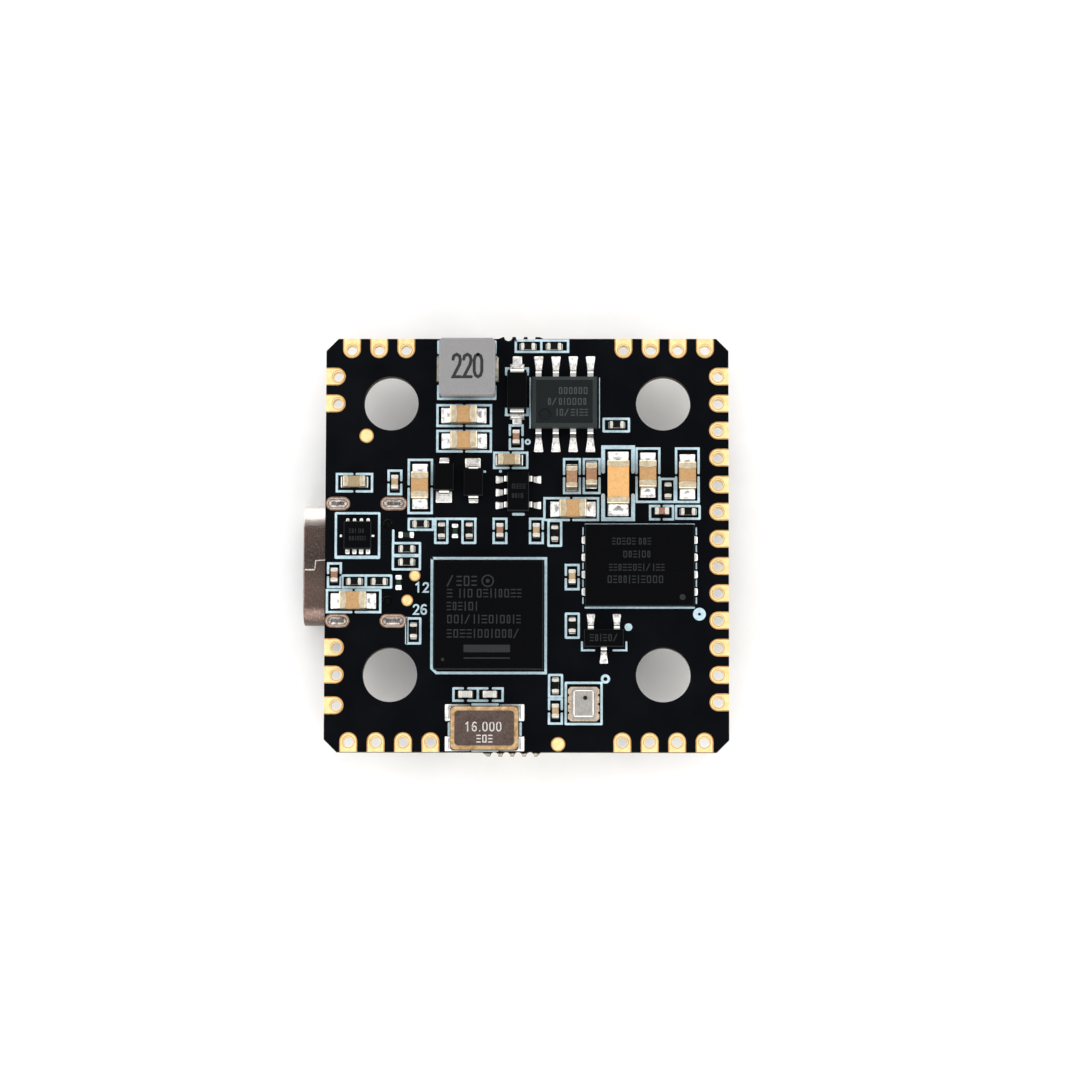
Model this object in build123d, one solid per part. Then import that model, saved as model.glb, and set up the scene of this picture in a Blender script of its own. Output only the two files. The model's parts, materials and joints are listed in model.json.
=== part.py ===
from build123d import *
import os

# A flight controller board. The origin is the centre of the 20 mm mounting hole pattern, on the
# board's underside. +Z is up through the main component side, -X is the side of the USB mouth.
# All sizes are in millimetres. Rotations are in degrees.

# ---- Circuit board -----------------------------------------------------------------------------
BOARD_LEFT = -14.8
BOARD_RIGHT = 14.8
BOARD_FRONT = -15.65
BOARD_BACK = 14.8
BOARD_THICKNESS = 1.0
BOARD_CHAMFER = 0.9
TOP = BOARD_THICKNESS
MOUNT_SPACING = 20.0
MOUNT_HOLE_RADIUS = 2.0

# Stubs left where the board was snapped out of its panel: left, right, how far they stand out, and
# the drilled bites.
FRONT_STUB = (-3.2, 1.05, 0.27, (-2.35, -1.48, -0.61, 0.26))
BACK_STUB = (-2.1, 1.2, 0.14, (-1.4, -0.55, 0.3))
STUB_SLOPE = 0.3
BITE_RADIUS = 0.3

# ---- Edge pads and test pads -------------------------------------------------------------------
PAD_WIDTH = 1.3
PAD_INSET = 0.78
PAD_FOIL = 0.05
PAD_DRILL_RADIUS = 0.43
PAD_BARREL_RADIUS = 0.42
PAD_HOLE_RADIUS = 0.37
BACK_PADS_X = (-12.92, -10.92, -8.92, 7.08, 9.08, 11.08, 13.08)
FRONT_PADS_X = (-13, -11, -9, -7, 7, 9, 11, 13)
LEFT_PADS_Y = (12, 10, -8, -10, -12.25)
RIGHT_PADS_Y = tuple(range(12, -13, -2))
# Distance of each row's holes from the board edge
BACK_HOLE_INSET = 0.83
FRONT_HOLE_INSET = 0.73
LEFT_HOLE_INSET = 0.88
RIGHT_HOLE_INSET = 0.78
# x, y and radius of each test pad
TEST_PADS = ((-11.8, 7.6, 0.52), (-8.2, -2.73, 0.41), (-8.75, -4.55, 0.42), (2.32, -15.08, 0.52))

# ---- Chip components: length, width, height, terminal length -----------------------------------
SIZE_1206 = (3.2, 1.6, 1.5, 0.42)
SIZE_0805 = (2.0, 1.25, 1.2, 0.46)
SIZE_0603 = (1.6, 0.8, 0.8, 0.33)
SIZE_0402 = (1.0, 0.5, 0.5, 0.24)
SIZE_RESISTOR = (1.0, 0.5, 0.35, 0.2)
SIZE_LED = (1.6, 0.8, 0.6, 0.35)
TERMINAL_STEP = 0.02
# How far the middle of a terminal's inner rim bulges, and how round its outer edges are, as
# shares of its length
TERMINAL_BULGE = 0.2
TERMINAL_ROUNDING = 0.28
SOLDER_GAP = 0.03

# ---- Where the chip components sit: x, y, turn -------------------------------------------------
LARGE_CAPACITOR = [(6.7, 4.05, 90)]
CAPACITORS_0805 = [
    (-4.65, 9.1, 0), (-4.62, 7.2, 0), (3.38, 2.17, 0), (-12.7, -4.6, 0),
    (-7.85, 3.85, 90), (8.87, 4.7, 90), (11.77, 4.58, 90),
]
CAPACITORS_0603 = [(-1.3, 5.8, 0), (-12.67, 4.17, 0), (3.3, 4.5, 90), (4.74, 4.7, 90)]
CAPACITORS_0402 = [
    (-0.8, 7.5, 90), (-9.7, 4.15, 90), (-14.1, -2.7, 90), (-1.97, 0.6, 90), (0.7, 0.6, 90),
    (3.33, -2.8, 90), (2.12, -12.65, 90), (9.9, 2.02, 0),
]
LOAD_CAPACITORS = [(-4.45, -11.45, 0), (-2.67, -11.45, 0)]
RESISTORS = [
    (0.05, 14.2, 0), (1.98, 14.2, 0), (6.58, 8.4, 0), (-7.8, 1.06, 0), (-8.8, -0.77, 0),
    (-8.8, -1.75, 0), (-12.62, -3.18, 0), (-10.8, -3.18, 0), (11.82, 1.98, 0),
    (-6.25, 0.6, 90), (-4.22, 0.6, 90), (2.05, 0.4, 90), (10.35, 3.55, 90), (3.34, -6.38, 90),
    (-8.27, -6.78, 90), (2.12, -10.8, 90),
]
UNDERSIDE_CAPACITORS_0402 = [(-1.4, -4.3, 90), (4.3, -4.3, 90), (-3.4, 7.4, 90), (8.4, 6.6, 90)]
UNDERSIDE_RESISTORS = [
    (-6.6, -3.6, 0), (-6.6, -0.2, 0), (9.4, -4.4, 90), (11.6, -4.4, 90), (-6.6, 5.2, 0),
]
STATUS_LEDS = [(9.4, -6.6, 90), (11.6, -6.6, 90)]

# ---- Power inductor ----------------------------------------------------------------------------
INDUCTOR_AT = (-4.38, 12.5)
INDUCTOR_WIDTH = 4.1
INDUCTOR_DEPTH = 4.2
INDUCTOR_HEIGHT = 2.0
INDUCTOR_CORNER = 0.3
INDUCTOR_RIM = 0.14
INDUCTOR_SEAT = 0.15
INDUCTOR_TERMINAL_WIDTH = 1.8
INDUCTOR_TERMINAL_HEIGHT = 0.9
INDUCTOR_REACH = 2.27
COIL_INNER_RADIUS = 0.85
COIL_OUTER_RADIUS = 1.5
COIL_HEIGHT = 0.9
COIL_GAP = 0.03

# ---- Leaded packages: body length (x), width (y), height, foot reach, lead width, lead places --
LEAD_THICKNESS = 0.15
# Where a lead's shoulder ends and its foot starts, as shares of its run out from the body
LEAD_SHOULDER = 0.3
LEAD_HEEL = 0.5
LEAD_BEND = LEAD_THICKNESS * 0.7
BODY_SEAT = 0.1
MOULD_TAPER = 7
RECTIFIER_AT = (-0.73, 10.87, 90)
RECTIFIER = (2.72, 1.48, 1.1, 1.97, 1.0)
SIGNAL_DIODES_AT = ((-6.07, 4.5, 90), (-3.92, 4.1, 90))
SIGNAL_DIODE = (2.0, 1.42, 0.85, 1.35, 0.7)
BUCK_AT = (2.75, 9.95)
BUCK = (4.82, 3.86, 1.5, 3.0, 0.42)
BUCK_PITCH = 1.27
BUCK_LEADS = 4
BUCK_BEVEL = 0.25
LINEAR_AT = (-0.63, 3.4, 90)
LINEAR = (2.9, 1.6, 1.15, 1.4, 0.4)
LINEAR_PITCH = 0.95
TRANSISTOR_AT = (5.65, -7.35, 0)
TRANSISTOR = (2.9, 1.3, 1.0, 1.22, 0.42)
TRANSISTOR_PITCH = 0.95
DISPLAY_CHIP_AT = (2.0, 4.9)
DISPLAY_CHIP = (9.7, 4.4, 1.1, 3.2, 0.25)
DISPLAY_CHIP_PITCH = 0.65
DISPLAY_CHIP_LEADS = 14
# Pin-one dimples: radius, depth, and how far from the body's edges
BUCK_DIMPLE = (0.46, 0.1, 1.0)
DISPLAY_CHIP_DIMPLE = (0.36, 0.06, 0.9)

# ---- Leadless packages -------------------------------------------------------------------------
# Body length, width and height. Lands are four a side: pitch, length, width, and how far their
# middles lie inside the body's edge.
POWER_SWITCH_AT = (-12.4, 0.2)
POWER_SWITCH = (2.0, 2.0, 0.75)
POWER_SWITCH_LANDS = (0.5, 0.4, 0.25, 0.0)
FLASH_AT = (8.27, -2.0)
FLASH = (8.0, 6.0, 0.75)
FLASH_LANDS = (1.27, 0.6, 0.5, 0.08)
LANDS_PER_SIDE = 4
PROCESSOR_AT = (-2.78, -5.66)
PROCESSOR_SIDE = 8.0
PROCESSOR_HEIGHT = 0.85
BALL_RADIUS = 0.2
BALL_PITCH = 0.8
BALLS_PER_SIDE = 10
BALL_STAND = 0.24
MOTION_SENSOR_AT = (1.45, -4.3)
MOTION_SENSOR = (3.0, 2.5, 0.86)
MOTION_SENSOR_LANDS = (0.5, 0.45, 0.25, 0.1)
LEADLESS_STAND = 0.03
LEADLESS_BEVEL = 0.05

# ---- Crystal and barometer ---------------------------------------------------------------------
CRYSTAL_AT = (-3.05, -13.95)
CRYSTAL_LENGTH = 5.0
CRYSTAL_WIDTH = 3.2
CRYSTAL_CORNER = 0.2
CRYSTAL_BASE_HEIGHT = 0.75
CRYSTAL_CAVITY_LENGTH = 3.5
CRYSTAL_CAVITY_WIDTH = 1.9
CRYSTAL_CAVITY_DEPTH = 0.45
CRYSTAL_CAVITY_CORNER = 0.1
CRYSTAL_RING_INSET = 0.04
CRYSTAL_RING_WIDTH = 0.28
CRYSTAL_RING_HEIGHT = 0.12
CRYSTAL_RING_CORNER = 0.35
CRYSTAL_LID_HEIGHT = 0.12
CRYSTAL_LID_CORNER = 0.3
CRYSTAL_LID_RIM = 0.05
CRYSTAL_BLANK_LENGTH = 2.8
CRYSTAL_BLANK_WIDTH = 1.425
CRYSTAL_BLANK_THICKNESS = 0.08
CRYSTAL_SHELF_LENGTH = 0.3
CRYSTAL_SHELF_HEIGHT = 0.15
BAROMETER_AT = (4.18, -12.15)
BAROMETER_LENGTH = 2.3
BAROMETER_DEPTH = 2.5
BAROMETER_BASE_HEIGHT = 0.3
BAROMETER_LID_LENGTH = 1.55
BAROMETER_LID_DEPTH = 2.05
BAROMETER_LID_HEIGHT = 0.7
BAROMETER_LID_WALL = 0.1
BAROMETER_LID_CORNER = 0.22
BAROMETER_LID_RIM = 0.16
BAROMETER_HOLLOW_SIDE = 0.15
BAROMETER_FLANGE = 0.12
BAROMETER_FLANGE_CORNER = 0.3
BAROMETER_FLANGE_HEIGHT = 0.1
BAROMETER_CHAMFER = 0.2
BAROMETER_NOTCH_RADIUS = 0.11
BAROMETER_NOTCHES = 3
BAROMETER_NOTCH_PITCH = 0.64
BAROMETER_VENT_RADIUS = 0.16
BAROMETER_VENT_AT = (0.12, 0.4)
BAROMETER_DIE_SIDE = 0.8
BAROMETER_DIE_HEIGHT = 0.3
BAROMETER_DIE_Y = -0.2

# ---- USB-C receptacle, under the left edge with its mouth towards -X ---------------------------
USB_CENTRE_Y = -1.74
USB_WIDTH = 8.94
USB_HEIGHT = 3.16
USB_WALL = 0.3
USB_MOUTH_X = -16.45
USB_REAR_X = -9.1
USB_LEG_LENGTH = 1.0
USB_LEG_ABOVE = 0.12
# x of each pair of shell legs and the length of the slots they stand in
USB_SLOTS = ((-13.88, 1.42), (-9.78, 1.58))
USB_SLOT_WIDTH = 0.62
USB_SLOT_SPACING = 8.64
USB_RING_WIDTH = 0.19
USB_RING_GAP = 0.01
USB_MOUTH_ROUNDING = 0.12
USB_SEAM_WIDTH = 0.06
USB_SEAM_DEPTH = 0.1
# The seam's y from the shell's middle near the mouth and behind it, and where it steps over
USB_SEAM_NEAR = -0.4
USB_SEAM_FAR = 0.2
USB_SEAM_STEP = 0.85
USB_BLOCK_LENGTH = 2.5
USB_BLOCK_SLACK = 0.02
USB_TONGUE_WIDTH = 6.69
USB_TONGUE_HEIGHT = 0.7
USB_TONGUE_SETBACK = 0.85
USB_TONGUE_BEVEL = 0.15
USB_ROOT_LENGTH = 0.9
USB_ROOT_WIDTH = USB_TONGUE_WIDTH + 0.5
USB_ROOT_HEIGHT = 1.2
USB_CONTACT_PITCH = 0.5
USB_CONTACTS = 12
# Contact strip: length, width, thickness and how far it starts behind the tongue's tip
USB_STRIP = (2.8, 0.26, 0.04, 0.2)
# Contact tail behind the shell: length, width and thickness
USB_TAIL = (0.8, 0.3, 0.12)
USB_PEG_X = -10.2
USB_PEG_SPACING = 5.65
USB_PEG_RADIUS = 0.26
USB_PEG_LENGTH = 0.6
USB_PEG_HOLE_RADIUS = 0.33

# ---- Side-entry wire sockets, 1 mm pitch -------------------------------------------------------
SOCKET_PITCH = 1.0
SOCKET_DEPTH = 4.25
SOCKET_HEIGHT = 2.95
# Housing length beyond the first and last pins, both ends together
SOCKET_EXTRA = 3.0
SOCKET_WALL = 0.5
SOCKET_MOUTH_DEPTH = 3.3
SOCKET_EDGE_GAP = 0.6
# Latch notches in the wall away from the board: width, depth, and how far in from the mouth's side
SOCKET_NOTCH = (0.7, 1.6, 0.75)
SOCKET_PIN = 0.3
SOCKET_PIN_GAP = 0.01
SOCKET_PIN_DROP = 1.3
SOCKET_PRONG_LENGTH = 3.35
SOCKET_FOOT = 0.7
SOCKET_FOOT_THICKNESS = 0.15
# Solder tab: depth, y, then the upright's thickness and height, then the foot's reach
SOCKET_TAB = (1.6, -0.9, 0.2, 1.3, 0.55)
FRONT_SOCKET_PINS = 8
REAR_SOCKET_PINS = 6

# ---- Boot button, on the underside -------------------------------------------------------------
BUTTON_AT = (10.9, 1.0)
BUTTON_LENGTH = 3.9
BUTTON_WIDTH = 3.0
BUTTON_BASE_HEIGHT = 1.1
BUTTON_FLOOR = 0.25
BUTTON_WELL_RADIUS = 1.18
BUTTON_COVER_THICKNESS = 0.15
BUTTON_FLAP_LENGTH = 1.95
BUTTON_FLAP_HEIGHT = 0.77
BUTTON_PLUNGER_RADIUS = 0.75
BUTTON_PLUNGER_ROUNDING = 0.12
BUTTON_FLANGE_RADIUS = 1.0
BUTTON_FLANGE_HEIGHT = 0.25
BUTTON_CLEARANCE = 0.08
BUTTON_ABOVE_COVER = 0.6
BUTTON_DOME_RADIUS = 1.1
BUTTON_DOME_HEIGHT = 0.22
BUTTON_DOME_THICKNESS = 0.06


# ---- Helpers -----------------------------------------------------------------------------------

def save(name, pieces):
    """Write one piece, or a group of alike pieces, as one named STEP file."""
    solids = [solid for piece in pieces for solid in piece.solids()]
    shape = solids[0] if len(solids) == 1 else Compound(children=solids)
    export_step(shape, f"parts/{name}.step")


def on_top(piece, x, y, turn=0):
    """Seat a piece that was built on z = 0 on the board's component side."""
    return Pos(x, y, TOP) * Rot(0, 0, turn) * piece


def on_underside(piece, x, y, turn=0):
    """Seat a piece that was built on z = 0 under the board, hanging down."""
    return Pos(x, y, 0) * Rot(0, 0, turn) * Rot(180, 0, 0) * piece


def block(length, width, height, x=0.0, y=0.0, z=0.0):
    """A box centred on x and y that stands on z."""
    return Pos(x, y, z) * Box(length, width, height, align=(Align.CENTER, Align.CENTER, Align.MIN))


def disc(radius, height, x=0.0, y=0.0, z=0.0):
    """A cylinder that stands on z."""
    return Pos(x, y, z) * Cylinder(radius, height, align=(Align.CENTER, Align.CENTER, Align.MIN))


def rounded_block(length, width, height, corner, top_edge, z=0.0):
    """A box with rounded upright edges and a rounded top rim."""
    body = extrude(RectangleRounded(length, width, corner), amount=height)
    body = fillet(body.faces().sort_by(Axis.Z)[-1].edges(), top_edge)
    return Pos(0, 0, z) * body


def spread(count, pitch):
    """Positions of a row of alike things, centred on zero."""
    return [(i - (count - 1) / 2) * pitch for i in range(count)]


# ---- Circuit board -----------------------------------------------------------------------------

def mount_places():
    half = MOUNT_SPACING / 2
    return [(x, y) for x in (-half, half) for y in (-half, half)]


def pad_places():
    """Each edge pad's hole centre, the direction to the board edge in degrees, and its distance."""
    places = [(x, BOARD_BACK - BACK_HOLE_INSET, 90, BACK_HOLE_INSET) for x in BACK_PADS_X]
    places += [(x, BOARD_FRONT + FRONT_HOLE_INSET, -90, FRONT_HOLE_INSET) for x in FRONT_PADS_X]
    places += [(BOARD_LEFT + LEFT_HOLE_INSET, y, 180, LEFT_HOLE_INSET) for y in LEFT_PADS_Y]
    places += [(BOARD_RIGHT - RIGHT_HOLE_INSET, y, 0, RIGHT_HOLE_INSET) for y in RIGHT_PADS_Y]
    return places


def usb_leg_places():
    """x, y and slot length at each of the shell's four legs."""
    half = USB_SLOT_SPACING / 2
    return [(x, USB_CENTRE_Y + side * half, length) for x, length in USB_SLOTS for side in (-1, 1)]


def usb_peg_places():
    return [(USB_PEG_X, USB_CENTRE_Y + side * USB_PEG_SPACING / 2) for side in (-1, 1)]


def break_stub(stub, edge, outward):
    """A low trapezoid on a board edge with half-round bites along its outer side."""
    left, right, height, bites = stub
    rim = edge + outward * height
    outline = Polyline((left, edge), (left + STUB_SLOPE, rim), (right - STUB_SLOPE, rim), (right, edge),
                       (right, edge - outward), (left, edge - outward), close=True)
    holes = [Pos(x, rim) * Circle(BITE_RADIUS) for x in bites]
    return make_face(outline), holes


def circuit_board():
    width = BOARD_RIGHT - BOARD_LEFT
    depth = BOARD_BACK - BOARD_FRONT
    centre = Pos((BOARD_LEFT + BOARD_RIGHT) / 2, (BOARD_FRONT + BOARD_BACK) / 2)
    plate = Rectangle(width, depth)
    plate = centre * chamfer(plate.vertices(), BOARD_CHAMFER)
    front_stub, front_bites = break_stub(FRONT_STUB, BOARD_FRONT, -1)
    back_stub, back_bites = break_stub(BACK_STUB, BOARD_BACK, 1)
    holes = [Pos(x, y) * Circle(MOUNT_HOLE_RADIUS) for x, y in mount_places()]
    holes += [Pos(x, y) * Circle(PAD_DRILL_RADIUS) for x, y, _, _ in pad_places()]
    holes += [Pos(x, y) * SlotOverall(length, USB_SLOT_WIDTH) for x, y, length in usb_leg_places()]
    holes += [Pos(x, y) * Circle(USB_PEG_HOLE_RADIUS) for x, y in usb_peg_places()]
    outline = (plate + front_stub + back_stub) - (front_bites + back_bites + holes)
    return extrude(outline, amount=BOARD_THICKNESS)


def edge_pad(hole_inset):
    """Copper on both faces, joined by a plated barrel. The board edge is at +X = hole_inset."""
    round_end = hole_inset - PAD_INSET
    foil = Pos(round_end, 0) * Circle(PAD_WIDTH / 2)
    foil = foil + Pos(round_end + PAD_INSET / 2, 0) * Rectangle(PAD_INSET, PAD_WIDTH)
    upper = Pos(0, 0, TOP) * extrude(foil, amount=PAD_FOIL)
    lower = Pos(0, 0, -PAD_FOIL) * extrude(foil, amount=PAD_FOIL)
    barrel = disc(PAD_BARREL_RADIUS, TOP)
    bore = disc(PAD_HOLE_RADIUS, TOP + 2 * PAD_FOIL, z=-PAD_FOIL)
    return upper + lower + barrel - bore


def usb_slot_ring(length):
    """The plated slot that a shell leg is soldered in."""
    outside = SlotOverall(length + 2 * USB_RING_WIDTH, USB_SLOT_WIDTH + 2 * USB_RING_WIDTH)
    liner = SlotOverall(length - 2 * USB_RING_GAP, USB_SLOT_WIDTH - 2 * USB_RING_GAP)
    hole = SlotOverall(length - 2 * PAD_FOIL, USB_SLOT_WIDTH - 2 * PAD_FOIL)
    rim = extrude(outside, amount=PAD_FOIL)
    barrel = extrude(liner, amount=TOP)
    bore = Pos(0, 0, -PAD_FOIL) * extrude(hole, amount=TOP + 2 * PAD_FOIL)
    return Pos(0, 0, TOP) * rim + barrel - bore


def save_board():
    save("circuit_board", [circuit_board()])
    save("edge_pads", [Pos(x, y, 0) * Rot(0, 0, turn) * edge_pad(hole_inset)
                       for x, y, turn, hole_inset in pad_places()])
    save("test_pads", [disc(radius, PAD_FOIL, x, y, TOP) for x, y, radius in TEST_PADS])
    save("usb_slot_rings", [Pos(x, y, 0) * usb_slot_ring(length) for x, y, length in usb_leg_places()])


# ---- Chip capacitors, resistors and LEDs -------------------------------------------------------

def chip_core(size, slack):
    """The middle of a chip component along X, hollowed at its ends by the terminals' bulging rims."""
    length, width, height, terminal = size
    half = length / 2 - terminal
    waist = half - terminal * TERMINAL_BULGE
    side = width / 2 - slack
    outline = make_face([
        Polyline((-half, side), (half, side)),
        ThreePointArc((half, side), (waist, 0), (half, -side)),
        Polyline((half, -side), (-half, -side)),
        ThreePointArc((-half, -side), (-waist, 0), (-half, side)),
    ])
    return Pos(0, 0, SOLDER_GAP + slack) * extrude(outline, amount=height - 2 * slack)


def chip_body(size):
    """The ceramic between the two terminals."""
    return chip_core(size, TERMINAL_STEP)


def chip_terminals(size):
    """The two metal end caps, with softly rounded outer edges."""
    length, width, height, terminal = size
    reach = terminal * (1 + TERMINAL_BULGE)
    cap = block(reach, width, height, x=(length - reach) / 2, z=SOLDER_GAP)
    outer_face = cap.faces().sort_by(Axis.X)[-1]
    cap = fillet(outer_face.edges(), terminal * TERMINAL_ROUNDING) - chip_core(size, 0)
    return [cap, Rot(0, 0, 180) * cap]


def save_chip_group(body_name, terminal_name, size, top_places, underside_places=(), extra_terminals=()):
    body = chip_body(size)
    terminals = chip_terminals(size)
    bodies = [on_top(body, *place) for place in top_places]
    bodies += [on_underside(body, *place) for place in underside_places]
    ends = [on_top(end, *place) for place in [*top_places, *extra_terminals] for end in terminals]
    ends += [on_underside(end, *place) for place in underside_places for end in terminals]
    save(body_name, bodies)
    save(terminal_name, ends)


def save_chips():
    save_chip_group("capacitor_1206_body", "capacitor_1206_terminals", SIZE_1206, LARGE_CAPACITOR)
    save_chip_group("capacitor_0805_bodies", "capacitor_0805_terminals", SIZE_0805, CAPACITORS_0805)
    save_chip_group("capacitor_0603_bodies", "capacitor_0603_terminals", SIZE_0603, CAPACITORS_0603)
    save_chip_group("capacitor_0402_bodies", "capacitor_0402_terminals", SIZE_0402, CAPACITORS_0402,
                    UNDERSIDE_CAPACITORS_0402, LOAD_CAPACITORS)
    load_body = chip_body(SIZE_0402)
    save("load_capacitor_bodies", [on_top(load_body, *place) for place in LOAD_CAPACITORS])
    save_chip_group("resistor_bodies", "resistor_terminals", SIZE_RESISTOR, RESISTORS,
                    UNDERSIDE_RESISTORS)
    save_chip_group("status_led_bodies", "status_led_terminals", SIZE_LED, (), STATUS_LEDS)


# ---- Power inductor ----------------------------------------------------------------------------

def inductor_terminal():
    """A strip that runs under the core, shows as a foot and climbs the core's side, on +X."""
    side = INDUCTOR_WIDTH / 2
    under = side / 2
    foot_length = INDUCTOR_REACH - under
    foot = block(foot_length, INDUCTOR_TERMINAL_WIDTH, INDUCTOR_SEAT, x=under + foot_length / 2)
    riser = block(INDUCTOR_SEAT, INDUCTOR_TERMINAL_WIDTH, INDUCTOR_TERMINAL_HEIGHT,
                  x=side + INDUCTOR_SEAT / 2)
    return foot + riser


def coil_ring(gap):
    """A flat ring in the middle of the core, grown by a gap on all sides."""
    middle = (INDUCTOR_SEAT + INDUCTOR_HEIGHT) / 2
    height = COIL_HEIGHT + 2 * gap
    ring = disc(COIL_OUTER_RADIUS + gap, height, z=middle - height / 2)
    return ring - disc(COIL_INNER_RADIUS - gap, height, z=middle - height / 2)


def save_inductor():
    core_height = INDUCTOR_HEIGHT - INDUCTOR_SEAT
    core = rounded_block(INDUCTOR_WIDTH, INDUCTOR_DEPTH, core_height,
                         INDUCTOR_CORNER, INDUCTOR_RIM, INDUCTOR_SEAT)
    terminal = inductor_terminal()
    save("inductor_core", [on_top(core - coil_ring(COIL_GAP), *INDUCTOR_AT)])
    save("inductor_coil", [on_top(coil_ring(0), *INDUCTOR_AT)])
    save("inductor_terminals", [on_top(Rot(0, 0, turn) * terminal, *INDUCTOR_AT) for turn in (0, 180)])


# ---- Leaded packages ---------------------------------------------------------------------------

def moulded_body(length, width, height, bevel=0.0):
    """A moulded body that narrows up and down from its parting line. A bevel may run round its top."""
    half = (height - BODY_SEAT) / 2
    waist = Rectangle(length, width)
    upper = extrude(waist, amount=half, taper=MOULD_TAPER)
    lower = extrude(waist, amount=-half, taper=MOULD_TAPER)
    if bevel:
        upper = chamfer(upper.faces().sort_by(Axis.Z)[-1].edges(), bevel)
    return Pos(0, 0, BODY_SEAT + half) * (upper + lower)


def dimple(dimple_size, length, width, height):
    """The cutter for a round pin-one mark in the corner of a body's top."""
    radius, depth, inset = dimple_size
    return disc(radius, depth, inset - length / 2, inset - width / 2, height - depth)


def lead(side, reach, lead_width, exit_height):
    """A gull-wing lead that leaves the body's side at +X = side and ends in a foot at +X = reach."""
    half = LEAD_THICKNESS / 2
    shoulder = side + (reach - side) * LEAD_SHOULDER
    heel = side + (reach - side) * LEAD_HEEL
    corners = [(side, exit_height), (shoulder, exit_height), (heel, half), (reach, half)]
    path = FilletPolyline(*corners, radius=LEAD_BEND)
    return extrude(Plane.XZ * trace(path, LEAD_THICKNESS), amount=lead_width / 2, both=True)


def lead_row(side, reach, lead_width, exit_height, places):
    """Leads along +X, one at each Y place."""
    strip = lead(side, reach, lead_width, exit_height)
    return [Pos(0, y, 0) * strip for y in places]


def both_rows(side, reach, lead_width, exit_height, right_places, left_places):
    right = lead_row(side, reach, lead_width, exit_height, right_places)
    left = lead_row(side, reach, lead_width, exit_height, left_places)
    return right + [Rot(0, 0, 180) * strip for strip in left]


def exit_level(height):
    """The height at which leads leave a body: its parting line."""
    return (BODY_SEAT + height) / 2


def save_diodes():
    length, width, height, reach, lead_width = RECTIFIER
    body = moulded_body(length, width, height)
    leads = both_rows(length / 2, reach, lead_width, exit_level(height), (0,), (0,))
    save("rectifier_body", [on_top(body, *RECTIFIER_AT)])
    save("rectifier_leads", [on_top(strip, *RECTIFIER_AT) for strip in leads])
    length, width, height, reach, lead_width = SIGNAL_DIODE
    body = moulded_body(length, width, height)
    leads = both_rows(length / 2, reach, lead_width, exit_level(height), (0,), (0,))
    save("signal_diode_bodies", [on_top(body, *place) for place in SIGNAL_DIODES_AT])
    save("signal_diode_leads", [on_top(strip, *place) for place in SIGNAL_DIODES_AT for strip in leads])


def save_buck_regulator():
    length, width, height, reach, lead_width = BUCK
    body = moulded_body(length, width, height, BUCK_BEVEL) - dimple(BUCK_DIMPLE, length, width, height)
    places = spread(BUCK_LEADS, BUCK_PITCH)
    leads = both_rows(width / 2, reach, lead_width, exit_level(height), places, places)
    save("buck_regulator_body", [on_top(body, *BUCK_AT)])
    save("buck_regulator_leads", [on_top(strip, *BUCK_AT, 90) for strip in leads])


def save_linear_regulator():
    length, width, height, reach, lead_width = LINEAR
    x, y, turn = LINEAR_AT
    body = moulded_body(length, width, height)
    outer = (-LINEAR_PITCH, LINEAR_PITCH)
    all_three = (-LINEAR_PITCH, 0, LINEAR_PITCH)
    leads = both_rows(width / 2, reach, lead_width, exit_level(height), outer, all_three)
    save("linear_regulator_body", [on_top(body, x, y, turn)])
    save("linear_regulator_leads", [on_top(strip, x, y) for strip in leads])


def save_transistor():
    length, width, height, reach, lead_width = TRANSISTOR
    x, y, turn = TRANSISTOR_AT
    body = moulded_body(length, width, height)
    outer = (-TRANSISTOR_PITCH, TRANSISTOR_PITCH)
    leads = both_rows(width / 2, reach, lead_width, exit_level(height), outer, (0,))
    save("transistor_body", [on_top(body, x, y, turn)])
    save("transistor_leads", [on_top(strip, x, y, 90) for strip in leads])


def save_display_chip():
    length, width, height, reach, lead_width = DISPLAY_CHIP
    body = moulded_body(length, width, height) - dimple(DISPLAY_CHIP_DIMPLE, length, width, height)
    places = spread(DISPLAY_CHIP_LEADS, DISPLAY_CHIP_PITCH)
    leads = both_rows(width / 2, reach, lead_width, exit_level(height), places, places)
    save("display_chip_body", [on_underside(body, *DISPLAY_CHIP_AT)])
    save("display_chip_leads", [on_underside(strip, *DISPLAY_CHIP_AT, 90) for strip in leads])


# ---- Leadless packages -------------------------------------------------------------------------

def flat_package(length, width, height, stand=LEADLESS_STAND):
    """A square-cut body with a fine bevel round its top."""
    body = block(length, width, height - stand, z=stand)
    return chamfer(body.faces().sort_by(Axis.Z)[-1].edges(), LEADLESS_BEVEL)


def edge_lands(span, lands):
    """Flat terminals under the two X sides of a leadless package, span apart."""
    pitch, land_length, land_width, inset = lands
    land = block(land_length, land_width, LEADLESS_STAND)
    places = spread(LANDS_PER_SIDE, pitch)
    return [Pos(side * (span / 2 - inset), y, 0) * land for side in (-1, 1) for y in places]


def save_leadless():
    length, width, height = POWER_SWITCH
    body = flat_package(length, width, height)
    lands = edge_lands(width, POWER_SWITCH_LANDS)
    save("power_switch_body", [on_top(body, *POWER_SWITCH_AT)])
    save("power_switch_terminals", [on_top(land, *POWER_SWITCH_AT, 90) for land in lands])

    length, width, height = FLASH
    body = flat_package(length, width, height)
    lands = edge_lands(length, FLASH_LANDS)
    save("flash_memory_body", [on_top(body, *FLASH_AT)])
    save("flash_memory_terminals", [on_top(land, *FLASH_AT) for land in lands])

    length, width, height = MOTION_SENSOR
    body = flat_package(length, width, height)
    lands = edge_lands(length, MOTION_SENSOR_LANDS)
    save("motion_sensor_body", [on_underside(body, *MOTION_SENSOR_AT)])
    save("motion_sensor_terminals", [on_underside(land, *MOTION_SENSOR_AT) for land in lands])


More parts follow.
